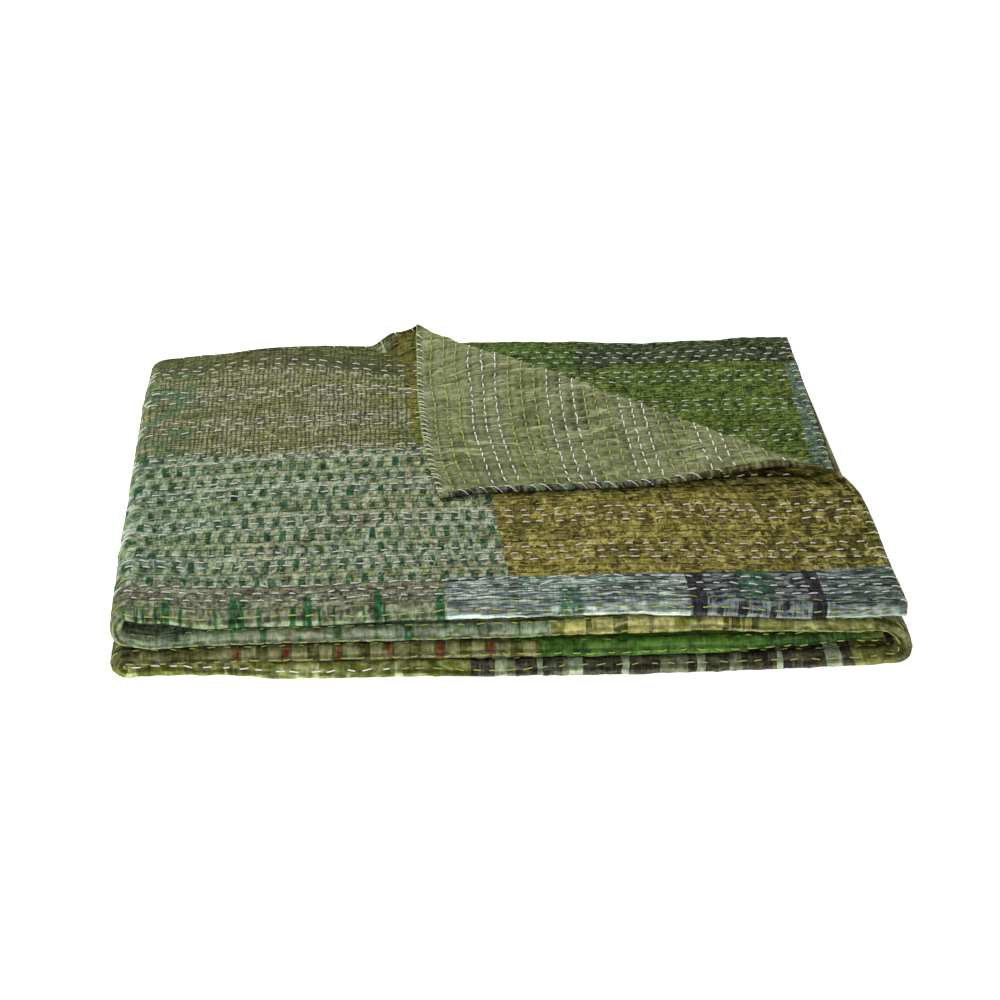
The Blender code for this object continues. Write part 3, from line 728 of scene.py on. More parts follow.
# ---------------------------------------------------------------- procedural cloth materials
def colour(red, green, blue):
    """A colour as seen on a screen, from 0 to 255, as linear light."""
    parts = [c / 255 for c in (red, green, blue)]
    return tuple(c / 12.92 if c <= 0.04045 else ((c + 0.055) / 1.055) ** 2.4 for c in parts) + (1.0,)


# How the creases of each kind of cloth show: (along, across in mm, painted shade in the valleys, painted
# highlight on the crests, height).
CRUMPLED = (7.5, 15.0, 0.40, 1.60, 0.9)
SOFT = (9.0, 20.0, 0.62, 1.30, 0.6)
RIPPLED = (24.0, 3.2, 0.42, 1.60, 0.8)
PRESSED_FLAT = (7.0, 9.0, 0.66, 1.30, 0.4)
DRAWN_ACROSS = (9.5, 34.0, 0.70, 1.30, 0.55)
# The painted shadow under each stitch row, on its dark side: (from, to) in rows from its middle.
ROW_SHADOW_SPAN = (-0.32, -0.06)
# How much painted shade darkens the cloth where the mesh is hollow.
HOLLOW_SHADE = 0.60
SEED_STEP = 7.3


class Looks:
    """The nodes of one material. A colour of three parts is as seen on a screen, from 0 to 255."""

    def __init__(self, name, roughness, specular):
        self.material = bpy.data.materials.new(name)
        self.material.use_nodes = True
        self.tree = self.material.node_tree
        self.shader = self.tree.nodes["Principled BSDF"]
        self.give(("Roughness", roughness), ("Specular IOR Level", specular))

    def give(self, *settings):
        for socket, value in settings:
            self.put(self.shader.inputs[socket], value)

    def add(self, kind, settings=(), **inputs):
        node = self.tree.nodes.new(kind)
        for key, value in dict(settings).items():
            setattr(node, key, value)
        for key, value in inputs.items():
            self.put(node.inputs[key.replace("_", " ")], value)
        return node

    def put(self, socket, value):
        if isinstance(value, bpy.types.NodeSocket):
            self.tree.links.new(value, socket)
        elif isinstance(value, tuple) and len(value) == 3:
            socket.default_value = colour(*value)
        else:
            socket.default_value = value

    def mix(self, share, one, other, how="MIX"):
        node = self.add("ShaderNodeMix", {"data_type": "RGBA", "blend_type": how})
        for socket, value in ((0, share), (6, one), (7, other)):
            self.put(node.inputs[socket], value)
        return node.outputs[2]

    def cover(self, shade, height, strength, distance):
        """Gives the surface its colour, and its fine relief from a height."""
        bump = self.add("ShaderNodeBump", Height=height, Strength=strength, Distance=distance)
        self.give(("Base Color", shade), ("Normal", bump.outputs["Normal"]))
        return self.material


class Cloth(Looks):
    """A cloth material, painted layer by layer on shade. Feature sizes are in mm along s and across t.

    The tone scale is how much it is changed in the end, as shares of red, green and blue light: mostly the
    dyes, and on the third layer's checked front band also painted shade.
    """

    def __init__(self, name, tone_scale, roughness=0.9):
        super().__init__(name, roughness, 0.10)
        self.tone_scale = (*tone_scale, 1.0)
        self.shade = None
        self.seed = 0.0
        uv = self.add("ShaderNodeUVMap", {"uv_map": "flat"})
        split = self.add("ShaderNodeSeparateXYZ", Vector=uv.outputs["UV"])
        self.s_mm = self.math("MULTIPLY", split.outputs["X"], 1000.0)
        self.t_mm = self.math("MULTIPLY", split.outputs["Y"], 1000.0)

    def math(self, operation, *values, clamp=False):
        """The values in turn, put together by one operation."""
        result = values[0]
        for value in values[1:] or (None,):
            node = self.add("ShaderNodeMath", {"operation": operation, "use_clamp": clamp})
            self.put(node.inputs[0], result)
            if value is not None:
                self.put(node.inputs[1], value)
            result = node.outputs[0]
        return result

    def times(self, *values):
        return self.math("MULTIPLY", *values) if len(values) > 1 else values[0]

    def plus(self, *values):
        return self.math("ADD", *values)

    def either(self, *values):
        return self.math("MAXIMUM", *values)

    def without(self, value, clamp=False):
        return self.math("SUBTRACT", 1.0, value, clamp=clamp)

    def away(self, value, middle):
        """How far a value is from a middle one."""
        return self.math("ABSOLUTE", self.math("SUBTRACT", value, middle))

    def between(self, value, low, high):
        """0 below low, 1 above high, and smooth between them."""
        return self.add("ShaderNodeMapRange", {"interpolation_type": "SMOOTHSTEP"},
                        Value=value, From_Min=low, From_Max=high).outputs["Result"]

    def inside(self, value, low, high, soft):
        """1 where value is between low and high."""
        above = self.between(value, low - soft, low + soft)
        return self.math("SUBTRACT", above, self.between(value, high - soft, high + soft), clamp=True)

    def noise(self, along_mm, across_mm, detail=1.0):
        self.seed += SEED_STEP
        node = self.add("ShaderNodeCombineXYZ", X=self.math("DIVIDE", self.s_mm, along_mm),
                        Y=self.math("DIVIDE", self.t_mm, across_mm), Z=self.seed)
        return self.add("ShaderNodeTexNoise", Vector=node.outputs[0], Scale=1.0, Detail=detail).outputs["Fac"]

    def cloud(self, sizes, low, high, *shares):
        """Soft spots of noise: sizes is (along in mm, across in mm, detail), low to high is their edge."""
        return self.times(self.between(self.noise(*sizes), low, high), *shares)

    def swing(self, along_mm, across_mm, reach_mm):
        """Noise that moves a place to and fro by up to about reach_mm."""
        return self.times(self.math("SUBTRACT", self.noise(along_mm, across_mm), 0.5), reach_mm * 3)

    def crests(self, along_mm, across_mm, narrow, detail):
        """Winding lines, 1 on them and 0 away from them."""
        off = self.away(self.noise(along_mm, across_mm, detail), 0.5)
        return self.without(self.times(off, narrow), clamp=True)

    def wave(self, value_mm, pitch_mm):
        return self.math("SINE", self.times(value_mm, 2 * math.pi / pitch_mm))

    def bars(self, run_mm, rows):
        """Where a run lies on any of the bars: (start, width) rows in mm."""
        return self.either(*[self.inside(run_mm, start, start + width, 0.4) for start, width in rows])

    def stripes(self, value_mm, table, waver_mm=0.5, end_mm=None):
        """Colours in turn along a run: (start in mm, colour) rows, each up to the next start."""
        value = self.plus(value_mm, self.swing(2.0, 4.0, waver_mm))
        low = table[0][0]
        reach = (end_mm or table[-1][0] + 20.0) - low
        share = self.math("DIVIDE", self.math("SUBTRACT", value, low), reach)
        node = self.add("ShaderNodeValToRGB", Fac=share)
        node.color_ramp.interpolation = "CONSTANT"
        stops = node.color_ramp.elements
        for k, (start, shade) in enumerate(table):
            stop = stops[k] if k < 2 else stops.new((start - low) / reach)
            stop.position, stop.color = (start - low) / reach, colour(*shade)
        return node.outputs["Color"]

    def paint(self, share, tint):
        self.shade = self.mix(share, self.shade, tint)

    def blotched(self, sizes, low, high, one, other):
        """The ground of a cloth: blotches of one colour in another."""
        self.shade = self.mix(self.cloud(sizes, low, high), one, other)

    def threads(self, pale, dark, along=0.5, across=0.5):
        """Slubby threads along and across the cloth."""
        weft = self.noise(8.0, 2.4)
        warp = self.noise(1.3, 10.0)
        for tint, low, high in ((pale, 0.51, 0.66), (dark, 0.48, 0.35)):
            self.paint(self.times(self.between(weft, low, high), along), tint)
            self.paint(self.times(self.between(warp, low, high), across), tint)
        self.weave = self.plus(weft, warp)

    def paint_crease_light(self, sizes, narrow, pale, dark, share):
        """Winding creases painted on: a painted highlight on the side to the light and painted shade beside
        it.
        """
        along_mm, across_mm = sizes
        level = self.noise(along_mm, across_mm, 2.0)
        here = self.times(self.cloud((along_mm * 1.7, across_mm * 1.3), 0.38, 0.54), share)
        for middle, tint in ((0.5 - 1.0 / narrow, dark), (0.5, pale)):
            line = self.without(self.times(self.away(level, middle), narrow), clamp=True)
            self.paint(self.times(line, here), tint)

    def painted_row_shadow(self, strength):
        """Painted shadow under each stitch row, where the drawn-in cloth shades itself: a factor, 1 away from
        the rows.
        """
        row = self.add("ShaderNodeAttribute", {"attribute_name": "row"}).outputs["Fac"]
        off = self.math("SUBTRACT", self.math("FRACT", self.plus(row, 0.5)), 0.5)
        under = self.inside(off, *ROW_SHADOW_SPAN, 0.05)
        return self.without(self.times(under, self.cloud((7.0, 5.0), 0.26, 0.50), strength))

    def finish_with_painted_light(self, creases=SOFT, painted_row_shadow=0.55):
        """Scales the cloth's tone, paints highlights on its crests and painted shade in its valleys, in its
        hollows and under its stitch rows, and gives it its fine relief.
        """
        along_mm, across_mm, in_valleys, on_crests, depth = creases
        shade = self.mix(1.0, self.shade, self.tone_scale, "MULTIPLY")
        crest = self.crests(along_mm, across_mm, 8.0, 2.0)
        small = self.crests(along_mm * 0.45, across_mm * 0.40, 5.5, 1.0)
        soft = self.noise(along_mm * 1.2, across_mm * 0.6, 2.0)
        swell = self.plus(self.times(crest, 0.45), self.times(small, 0.30), self.times(soft, 0.60))
        hollow = self.add("ShaderNodeAttribute", {"attribute_name": "hollow"}).outputs["Fac"]
        # Painted light: a painted highlight on the crests and painted shade in the valleys.
        light = self.add("ShaderNodeMapRange", Value=swell, From_Min=0.25, From_Max=0.90,
                         To_Min=in_valleys, To_Max=on_crests).outputs["Result"]
        # Painted shade in the hollows of the mesh.
        light = self.times(light, self.without(self.times(self.between(hollow, 0.30, 1.0), HOLLOW_SHADE)))
        grain = self.noise(1.5, 3.0, 2.0)
        light = self.times(light, self.without(self.times(self.between(grain, 0.56, 0.36), 0.20)))
        # Painted shadow under the stitch rows.
        light = self.times(light, self.painted_row_shadow(painted_row_shadow))
        painted_light_factor = self.add("ShaderNodeCombineXYZ", X=light, Y=light, Z=light).outputs[0]
        fine = self.plus(self.weave, self.times(grain, 1.5))
        height = self.plus(self.times(swell, depth), self.times(fine, 0.30))
        return self.cover(self.mix(1.0, shade, painted_light_factor, "MULTIPLY"), height, 1.0, 0.0016)


def taupe_weave():
    """Open khaki and taupe weave with dark lines both ways and a teal bloom towards its corners."""
    c = Cloth("taupe_weave", (1.06, 1.01, 0.99))
    c.blotched((45, 30, 2), 0.4, 0.62, (158, 160, 124), (136, 146, 82))
    c.threads((188, 190, 160), (92, 94, 62), 0.55, 0.55)
    run_s = c.plus(c.s_mm, c.swing(14, 30, 1.2))
    run_t = c.plus(c.t_mm, c.swing(14, 12, 0.9))
    columns = c.times(c.between(c.wave(run_s, 2.9), 0.2, 0.85), c.cloud((4, 9), 0.32, 0.5), 0.85)
    lines = c.times(c.between(c.wave(run_t, 2.77), 0.1, 0.7), c.cloud((9, 3), 0.34, 0.5), 0.85)
    pale = c.times(c.between(c.wave(run_s, 2.9), -0.55, -0.95), c.cloud((4, 14), 0.42, 0.58), 0.5)
    c.paint(pale, (196, 198, 172))
    c.paint(columns, (68, 66, 52))
    c.paint(lines, (58, 60, 26))
    c.paint(c.cloud((30, 16, 2), 0.56, 0.66, 0.45), (78, 100, 40))
    left_edge = c.inside(c.s_mm, 418, 474, 14)
    c.paint(c.times(left_edge, c.cloud((16, 22, 2), 0.4, 0.56), 0.62), (64, 108, 74))
    slant = c.math("SUBTRACT", c.t_mm, c.times(c.s_mm, 0.36))
    back_rim = c.times(c.inside(slant, 1043, 1054, 3.5), c.between(c.s_mm, 362, 330), 0.75)
    c.paint(back_rim, (40, 84, 54))
    c.paint(c.times(c.between(c.t_mm, 1144, 1160), 0.72), (70, 76, 34))
    return c.finish_with_painted_light(PRESSED_FLAT)


# The pitch of the woven green blocks along the cloth and across it, in mm.
SAGE_WIDE, SAGE_TALL = 8.8, 20


def dashed_sage():
    """Pale sage and beige cloth, woven with rows of dark green blocks that step half a place each row."""
    c = Cloth("dashed_sage", (0.75, 0.85, 0.8))
    blotch = c.cloud((70, 40, 2), 0.36, 0.62)
    left = c.between(c.s_mm, 300, 450)
    tint = c.math("MULTIPLY", c.plus(blotch, left), 0.5, clamp=True)
    c.shade = c.mix(tint, (186, 174, 142), (150, 170, 144))
    c.threads((200, 204, 178), (108, 122, 92))
    run_s = c.plus(c.s_mm, c.plus(c.swing(30, 34, 2), c.swing(6, 5, 0.35)))
    run_t = c.plus(c.t_mm, c.plus(c.swing(11, 40, 2.6), c.swing(1.6, 12, 1.2)))
    rows = c.math("DIVIDE", run_t, SAGE_TALL)
    row = c.math("FLOOR", rows)
    column = c.plus(c.math("DIVIDE", run_s, SAGE_WIDE), c.times(row, 0.5))
    cell = c.add("ShaderNodeCombineXYZ", X=c.math("FLOOR", column), Y=row).outputs[0]
    chance = c.add("ShaderNodeTexWhiteNoise", {"noise_dimensions": "2D"}, Vector=cell).outputs["Value"]
    off = c.away(c.math("FRACT", column), 0.5)
    wide_part = c.between(c.plus(off, c.times(chance, 0.06)), 0.29, 0.24)
    tall_part = c.inside(c.math("FRACT", rows), 0.14, 0.84, 0.05)
    faint = c.plus(0.8, c.times(chance, 0.2))
    blocks = c.times(wide_part, tall_part, faint, c.cloud((1.4, 14), 0.18, 0.34))
    c.paint(blocks, c.mix(c.noise(6, 7), (18, 60, 42), (46, 104, 72)))
    c.paint(c.cloud((12, 2.4), 0.54, 0.66, 0.35), (92, 98, 38))
    # Painted crease highlights and shade.
    c.paint_crease_light((6, 14), 14, (214, 214, 182), (78, 92, 66), 0.45)
    c.paint(c.cloud((50, 5, 2), 0.6, 0.7, 0.5), (60, 84, 52))
    return c.finish_with_painted_light(CRUMPLED)


# Bars woven into the cloth, as (start, width) along it in mm.
TALL_BARS = ((263, 5), (298.5, 4.5), (338, 5), (376, 3.6), (380.5, 4.5), (418, 4.5))
SHORT_BARS = ((296, 1.6), (308, 1.5), (325, 1.2), (333, 2), (347, 3.4), (366, 3), (391, 2.2),
              (411, 2), (425, 2), (432, 1.5), (436, 2), (443, 1.5))
BLACK_BARS = ((45, 9), (66, 5), (74, 4), (83, 5), (91, 4.5), (105, 3), (113.5, 9))
SECOND_BARS = ((463.5, 1.5), (478, 1), (488, 2.5), (493, 3.5), (501, 1.5), (520, 3), (537, 3.5),
               (558, 3), (578, 4.5), (601, 2.5), (618, 6), (641, 3), (660, 1.5), (665, 1.5),
               (683, 1.5))


def taupe_striped():
    """The taupe end of the sage cloth, with green bars that run on over the fold and a painted highlight low
    on the fold.
    """
    c = Cloth("taupe_striped", (0.63, 0.73, 0.7))
    c.blotched((30, 7, 2), 0.4, 0.62, (146, 134, 108), (122, 120, 88))
    # Painted highlight low on the front fold, where it turns under towards the floor.
    c.paint(c.between(c.t_mm, 797, 790), (168, 178, 132))
    c.threads((206, 200, 170), (84, 80, 58), 0.5, 0.3)
    # Painted crease highlights and shade.
    c.paint_crease_light((12, 7), 10, (206, 200, 172), (72, 70, 52), 0.8)
    run = c.plus(c.s_mm, c.swing(3, 6, 0.7))
    ends = c.plus(c.t_mm, c.swing(1.5, 40, 9))
    tall = c.times(c.bars(run, TALL_BARS), c.between(ends, 822, 808))
    short = c.times(c.bars(run, SHORT_BARS), c.between(ends, 803, 796))
    mask = c.times(c.either(tall, short), c.cloud((1.4, 9), 0.2, 0.36))
    greens = c.mix(c.noise(8, 6), (22, 72, 40), (62, 136, 76))
    c.paint(c.times(mask, 0.92), greens)
    return c.finish_with_painted_light(CRUMPLED)


def mustard():
    """Soft mustard cotton, blotched with olive, and olive towards the right hem, partly its own colour and
    partly painted shade beside the roll of the turned corner.
    """
    c = Cloth("mustard", (0.71, 0.71, 0.67))
    c.blotched((16, 9, 2), 0.36, 0.64, (146, 132, 58), (122, 114, 44))
    c.threads((168, 152, 80), (88, 78, 26), 0.4, 0.4)
    olive = c.cloud((50, 30, 2), 0.5, 0.66, 0.5)
    # Olive towards the right hem: partly the cloth's own olive and partly painted shade beside the roll of
    # the turned corner.
    right = c.times(c.between(c.s_mm, 90, 10), 0.9)
    c.paint(c.either(olive, right), (88, 86, 32))
    # Painted crease highlights and shade, in two directions.
    for sizes, share in (((8, 18), 1), ((16, 6), 0.8)):
        c.paint_crease_light(sizes, 13, (202, 188, 106), (70, 64, 22), share)
    return c.finish_with_painted_light(CRUMPLED)


def silver_ripple():
    """Silver-blue cloth with dark streaks along it, a painted highlight low on the front fold where it turns
    under, and green blooms.
    """
    c = Cloth("silver_ripple", (1.1, 1.11, 1.08))
    c.blotched((60, 5, 2), 0.36, 0.6, (172, 194, 180), (120, 134, 130))
    c.threads((204, 212, 202), (66, 68, 76), 0.8, 0.35)
    c.paint(c.cloud((22, 1.8, 2), 0.5, 0.6, 0.9), (46, 52, 56))
    # Painted highlight low on the front fold, where it turns under towards the floor.
    painted_fold_highlight = c.inside(c.t_mm, 755, 792.5, 3.5)
    c.paint(c.times(painted_fold_highlight, c.cloud((40, 3), 0.7, 0.56), 0.95), (204, 222, 208))
    middle = c.inside(c.plus(c.s_mm, c.swing(2, 5, 1.5)), 185, 197, 1.5)
    middle = c.times(middle, c.between(c.t_mm, 820, 812), c.cloud((3, 4), 0.34, 0.5))
    high = c.either(*[c.inside(c.s_mm, *window, 4) for window in ((204, 218), (163, 176), (-4, 10))])
    high = c.times(high, c.between(c.t_mm, 808, 818), c.cloud((6, 4), 0.4, 0.56))
    c.paint(c.times(c.either(middle, high), 0.75), (44, 104, 72))
    c.paint(c.times(c.between(c.s_mm, 48, 40), 0.35), (44, 56, 56))
    return c.finish_with_painted_light(RIPPLED)


def brushed_black():
    """A black patch with pale brushed warp marks and a small green bloom."""
    c = Cloth("brushed_black", (0.98, 1.01, 0.98))
    c.shade = (50, 48, 54)
    c.threads((88, 86, 92), (26, 26, 30))
    solid = c.either(c.inside(c.s_mm, 44, 54, 0.6), c.inside(c.s_mm, 113, 123, 0.6))
    c.paint(c.times(c.cloud((9, 3, 2), 0.44, 0.58), c.without(solid), 0.8), (142, 152, 150))
    bars = c.bars(c.plus(c.s_mm, c.swing(1.2, 8, 1)), BLACK_BARS)
    brush = c.cloud((0.8, 9, 2), 0.36, 0.54)
    reach = c.between(c.plus(c.t_mm, c.swing(1, 30, 6)), 803, 791)
    c.paint(c.times(c.without(bars), brush, reach, 0.75), (160, 172, 166))
    bloom = c.times(c.inside(c.s_mm, 73, 93, 5), c.between(c.t_mm, 796, 804), 0.8)
    c.paint(c.times(bloom, c.cloud((5, 4), 0.38, 0.54)), (44, 104, 68))
    return c.finish_with_painted_light(PRESSED_FLAT)


# Plain dyed cottons: their tone scale, their two blotched colours, pale and dark threads that also
# give their painted crease highlights and shade, the blotches' size along and across in mm, and their
# creases.
PLAIN = {
    "khaki": ((0.78, 0.82, 0.58), (132, 124, 66), (112, 110, 52), (160, 152, 96), (74, 70, 28),
              (30, 20), SOFT),
    "moss": ((0.93, 0.94, 1), (92, 112, 40), (70, 92, 28), (124, 142, 66), (38, 54, 14),
             (16, 9), CRUMPLED),
    "leaf": ((0.82, 0.67, 0.58), (82, 122, 52), (62, 100, 38), (116, 152, 84), (30, 58, 20),
             (16, 9), CRUMPLED),
    "charcoal": ((0.71, 0.92, 0.55), (78, 78, 66), (58, 64, 44), (110, 110, 98), (32, 34, 26),
                 (18, 10), CRUMPLED),
    "teal": ((0.77, 0.74, 0.71), (112, 142, 118), (84, 118, 98), (150, 172, 150), (50, 76, 62),
             (5, 20), SOFT),
}


def plain_cottons():
    made = []
    for name, (tone_scale, one, other, pale, dark, blotch_mm, creases) in PLAIN.items():
        c = Cloth(name, tone_scale)
        c.blotched((*blotch_mm, 2), 0.38, 0.62, one, other)
        c.threads(pale, dark, 0.4, 0.4)
        # Painted crease highlights and shade, in the thread colours.
        c.paint_crease_light((14, 6), 12, pale, dark, 0.8)
        made.append(c.finish_with_painted_light(creases))
    return made


OLIVE = (112, 114, 40)
DEEP_OLIVE = (74, 78, 26)
BEIGE = (184, 174, 118)
SATIN = (126, 128, 76)
AQUA = (186, 200, 176)
BLACK = (48, 44, 46)
GREY = (132, 138, 116)
PALE = (206, 204, 156)
PALE_OLIVE = (156, 162, 88)
RED = (168, 52, 40)

# The blocks of the lower front folds: (start along the cloth in mm, colour).
SECOND_BLOCKS = (
    (700, OLIVE), (709, BEIGE), (721, DEEP_OLIVE), (724, BEIGE), (737, DEEP_OLIVE), (745, BEIGE),
    (757, DEEP_OLIVE), (760, BEIGE), (771, OLIVE), (787, BEIGE), (799, DEEP_OLIVE), (803, BEIGE),
    (804, DEEP_OLIVE), (809, BEIGE), (810, OLIVE), (812, BEIGE), (816, DEEP_OLIVE), (820, SATIN),
    (891, DEEP_OLIVE),
)
THIRD_END = ((1376, OLIVE), (1384, PALE), (1387, PALE_OLIVE), (1394, AQUA), (1399, OLIVE), (1416, PALE_OLIVE),
             (1423, OLIVE), (1430, PALE))
THIRD_REPEAT, THIRD_REPEAT_FROM = 28.9, 1438.3
THIRD_CHECKS = ((0, RED), (3.3, OLIVE), (4.7, PALE), (13, OLIVE), (20, PALE), (27.2, OLIVE))
BOTTOM_BLOCKS = (
    (917, DEEP_OLIVE), (926, OLIVE), (943.5, PALE_OLIVE), (949, BLACK), (955, AQUA), (964, BLACK),
    (986.7, AQUA), (990, BLACK), (1010, GREY), (1017.5, BLACK), (1031, AQUA), (1036, BLACK), (1041, GREY),
    (1057, BLACK), (1075, AQUA), (1079, BLACK), (1101.7, AQUA), (1110, GREY), (1113, BLACK), (1125, AQUA),
    (1128, BLACK), (1140, GREY), (1145, AQUA), (1151.7, BLACK), (1166, OLIVE),
)
BOTTOM_OLIVE = ((1160, OLIVE), (1202, PALE_OLIVE), (1205, PALE), (1209, OLIVE), (1252.5, PALE), (1265, OLIVE),
                (1304, PALE), (1306, OLIVE), (1356, PALE), (1362, OLIVE))


def woven_band(c, ground, brushed=0, spread=0.5, crease_light_share=0.35):
    """Threads, a little brushing, uneven tones and painted crease highlights and shade over the ground of a
    front band.
    """
    c.shade = ground
    c.paint(c.cloud((1, 14, 2), 0.54, 0.68, brushed), (196, 200, 180))
    c.paint(c.cloud((14, 3.5, 2), 0.62, 0.38, 0.3), (64, 66, 28))
    plain = c.shade
    c.threads((222, 218, 178), (56, 56, 26), 0.5, 0.35)
    c.shade = c.mix(spread, plain, c.shade)
    # Painted crease highlights and shade.
    c.paint_crease_light((16, 5), 9, (226, 222, 182), (50, 50, 24), crease_light_share)
    return c.finish_with_painted_light()


def second_stripes():
    c = Cloth("second_stripes", (0.7, 0.84, 0.85))
    c.blotched((24, 6, 2), 0.42, 0.6, (164, 176, 142), (170, 160, 130))
    c.paint(c.times(c.inside(c.s_mm, 540, 612, 8), 0.5), (164, 146, 124))
    run = c.plus(c.s_mm, c.swing(3, 5, 0.6))
    c.paint(c.times(c.bars(run, SECOND_BARS), c.cloud((1.4, 7), 0.26, 0.44), 0.85), (52, 118, 62))
    return woven_band(c, c.shade)


def second_blocks():
    c = Cloth("second_blocks", (1.16, 1.19, 0.92), 0.75)
    return woven_band(c, c.stripes(c.s_mm, SECOND_BLOCKS), 0, 0.25)


def third_checks():
    """Olive, pale, red-lined and pale again, over and over."""
    # Its tone scale is low partly as painted shade, where the layers above overhang this band.
    c = Cloth("third_checks", (0.51, 0.52, 0.42))
    run = c.math("MODULO", c.math("SUBTRACT", c.s_mm, THIRD_REPEAT_FROM), THIRD_REPEAT)
    checks = c.stripes(run, THIRD_CHECKS, 0.2, THIRD_REPEAT)
    c.shade = c.mix(0.55, c.stripes(c.s_mm, THIRD_END), DEEP_OLIVE)
    c.paint(c.between(c.s_mm, THIRD_REPEAT_FROM - 0.1, THIRD_REPEAT_FROM + 0.1), checks)
    c.paint(c.cloud((9, 5), 0.46, 0.62, 0.2), PALE_OLIVE)
    return woven_band(c, c.shade, 0.1)


def leaf_band():
    """The bright green band of the third layer, darker towards its end."""
    c = Cloth("leaf_band", (0.97, 0.71, 0.95), 0.8)
    c.blotched((24, 8, 2), 0.4, 0.6, (94, 158, 56), (66, 124, 38))
    c.paint(c.between(c.s_mm, 1728, 1752), (50, 96, 36))
    c.paint(c.between(c.s_mm, 1796, 1806), DEEP_OLIVE)
    c.threads((128, 180, 84), (36, 76, 20), 0.35, 0.2)
    return c.finish_with_painted_light()


def bottom_olive():
    c = Cloth("bottom_olive", (1.03, 1.14, 0.85), 0.8)
    return woven_band(c, c.stripes(c.s_mm, BOTTOM_OLIVE, 0.8), 0.1, 0.35)


def bottom_blocks():
    c = Cloth("bottom_blocks", (0.98, 1, 0.88), 0.8)
    return woven_band(c, c.stripes(c.s_mm, BOTTOM_BLOCKS, 0.6), 0.15, 0.15, 0.12)


def reverse_cotton():
    """The plain sage reverse, creased across its stitch rows, with painted crease highlights and shade and a
    faint painted shadow under its rows.
    """
    c = Cloth("reverse", (0.72, 0.74, 0.69))
    c.blotched((60, 50, 2), 0.38, 0.62, (158, 162, 118), (142, 148, 102))
    c.threads((182, 186, 144), (112, 118, 76), 0.4, 0.4)
    # Painted crease highlights and shade across the rows.
    c.paint_crease_light((9, 46), 22, (208, 214, 168), (104, 110, 72), 0.9)
    return c.finish_with_painted_light(DRAWN_ACROSS, painted_row_shadow=0.25)


def hem_roll():
    """The rolled hem of the first run: beads of dark, teal and dark again, then olive."""
    c = Cloth("hem_roll", (0.9, 0.85, 0.8), 0.7)
    bead = c.math("FLOOR", c.math("DIVIDE", c.t_mm, BEAD_PITCH * 1000))
    chance = c.add("ShaderNodeTexWhiteNoise", {"noise_dimensions": "1D"}, W=bead).outputs["Value"]
    c.shade = c.mix(c.between(chance, 0.35, 0.6), (58, 54, 58), (112, 146, 118))
    c.paint(c.times(c.between(c.wave(c.t_mm, BEAD_PITCH * 1000), 0.55, 1), 0.3), (150, 160, 128))
    c.paint(c.between(c.t_mm, 1062, 1044), (116, 114, 56))
    c.threads((160, 170, 148), (30, 32, 28))
    return c.finish_with_painted_light(PRESSED_FLAT)


def cloth_materials():
    return [
        taupe_weave(), dashed_sage(), taupe_striped(), mustard(), silver_ripple(), brushed_black(),
        *plain_cottons(), second_stripes(), second_blocks(), third_checks(), leaf_band(),
        bottom_olive(), bottom_blocks(), reverse_cotton(), hem_roll(),
    ]


# The patches: a name and the part of the flat cloth that it covers, (s from, to, t from, to), later
# rows over earlier ones. The parts that don't show in the photograph are filled in the same way.
LOW_BAND = (ACROSS[3] - 0.060, ACROSS[4] + 0.060)
LOW_TURN, THIRD_TURN = (ALONG[3] + ALONG[4]) / 2, (ALONG[5] + ALONG[6]) / 2
END = 1.90
PATCHES = (
    ("moss", (0.0, 0.47, 0.0, 0.60)),
    ("mustard", (0.47, 0.92, 0.0, 0.60)),
    ("taupe_weave", (0.92, 1.37, 0.0, 0.60)),
    ("charcoal", (1.37, END, 0.0, 0.60)),
    ("khaki", (0.0, 0.47, 0.60, 0.75)),
    ("dashed_sage", (0.47, 0.92, 0.60, 1.20)),
    ("leaf", (0.92, 1.16, 0.40, 1.20)),
    ("mustard", (1.16, 1.37, 0.40, 1.20)),
    ("silver_ripple", (1.37, END, 0.40, 1.20)),
    ("second_stripes", (ALONG[2] - 0.008, 0.701, *LOW_BAND)),
    ("second_blocks", (0.701, LOW_TURN, *LOW_BAND)),
    ("bottom_blocks", (LOW_TURN, 1.166, *LOW_BAND)),
    ("bottom_olive", (1.166, THIRD_TURN, *LOW_BAND)),
    ("third_checks", (THIRD_TURN, 1.613, *LOW_BAND)),
    ("leaf_band", (1.613, END, *LOW_BAND)),
    ("khaki", (-0.01, 0.280, 1.006, 1.20)),
    ("taupe_weave", (0.280, ALONG[2] + 0.01, 1.006, 1.20)),
    ("dashed_sage", (0.228, ALONG[2] + 0.01, 0.829, 1.006)),
    ("mustard", (-0.01, 0.228, 0.829, 1.006)),
    ("taupe_striped", (0.263, ALONG[2] - 0.008, 0.730, 0.829)),
    ("silver_ripple", (-0.01, 0.263, 0.730, 0.829)),
    ("brushed_black", (0.0445, 0.1225, 0.730, 0.829)),
    ("moss", (-0.01, 0.300, 0.080, 0.350)),
    ("leaf", (0.161, 0.300, 0.350, 0.440)),
    ("charcoal", (-0.01, 0.161, 0.350, 0.440)),
    ("teal", (-0.01, 0.010, 0.080, 0.350)),
)


def patch_numbers(names, s, t, side):
    """The number of the material at each place: the patches, the reverse, and the rolled hem."""
    found = np.zeros(len(s), int)
    for name, (s_from, s_to, t_from, t_to) in PATCHES:
        found[(s >= s_from) & (s < s_to) & (t >= t_from) & (t < t_to)] = names.index(name)
    found[side == REVERSE] = names.index("reverse")
    hem = (s < 0.0020) & (t > ACROSS[4]) & (t < CLOTH_WIDTH - 0.004)
    found[hem & ((side == REVERSE) | (s < 0.0002))] = names.index("hem_roll")
    return found


# ---------------------------------------------------------------- threads
THREAD_RADIUS = 0.00045
RING = 6

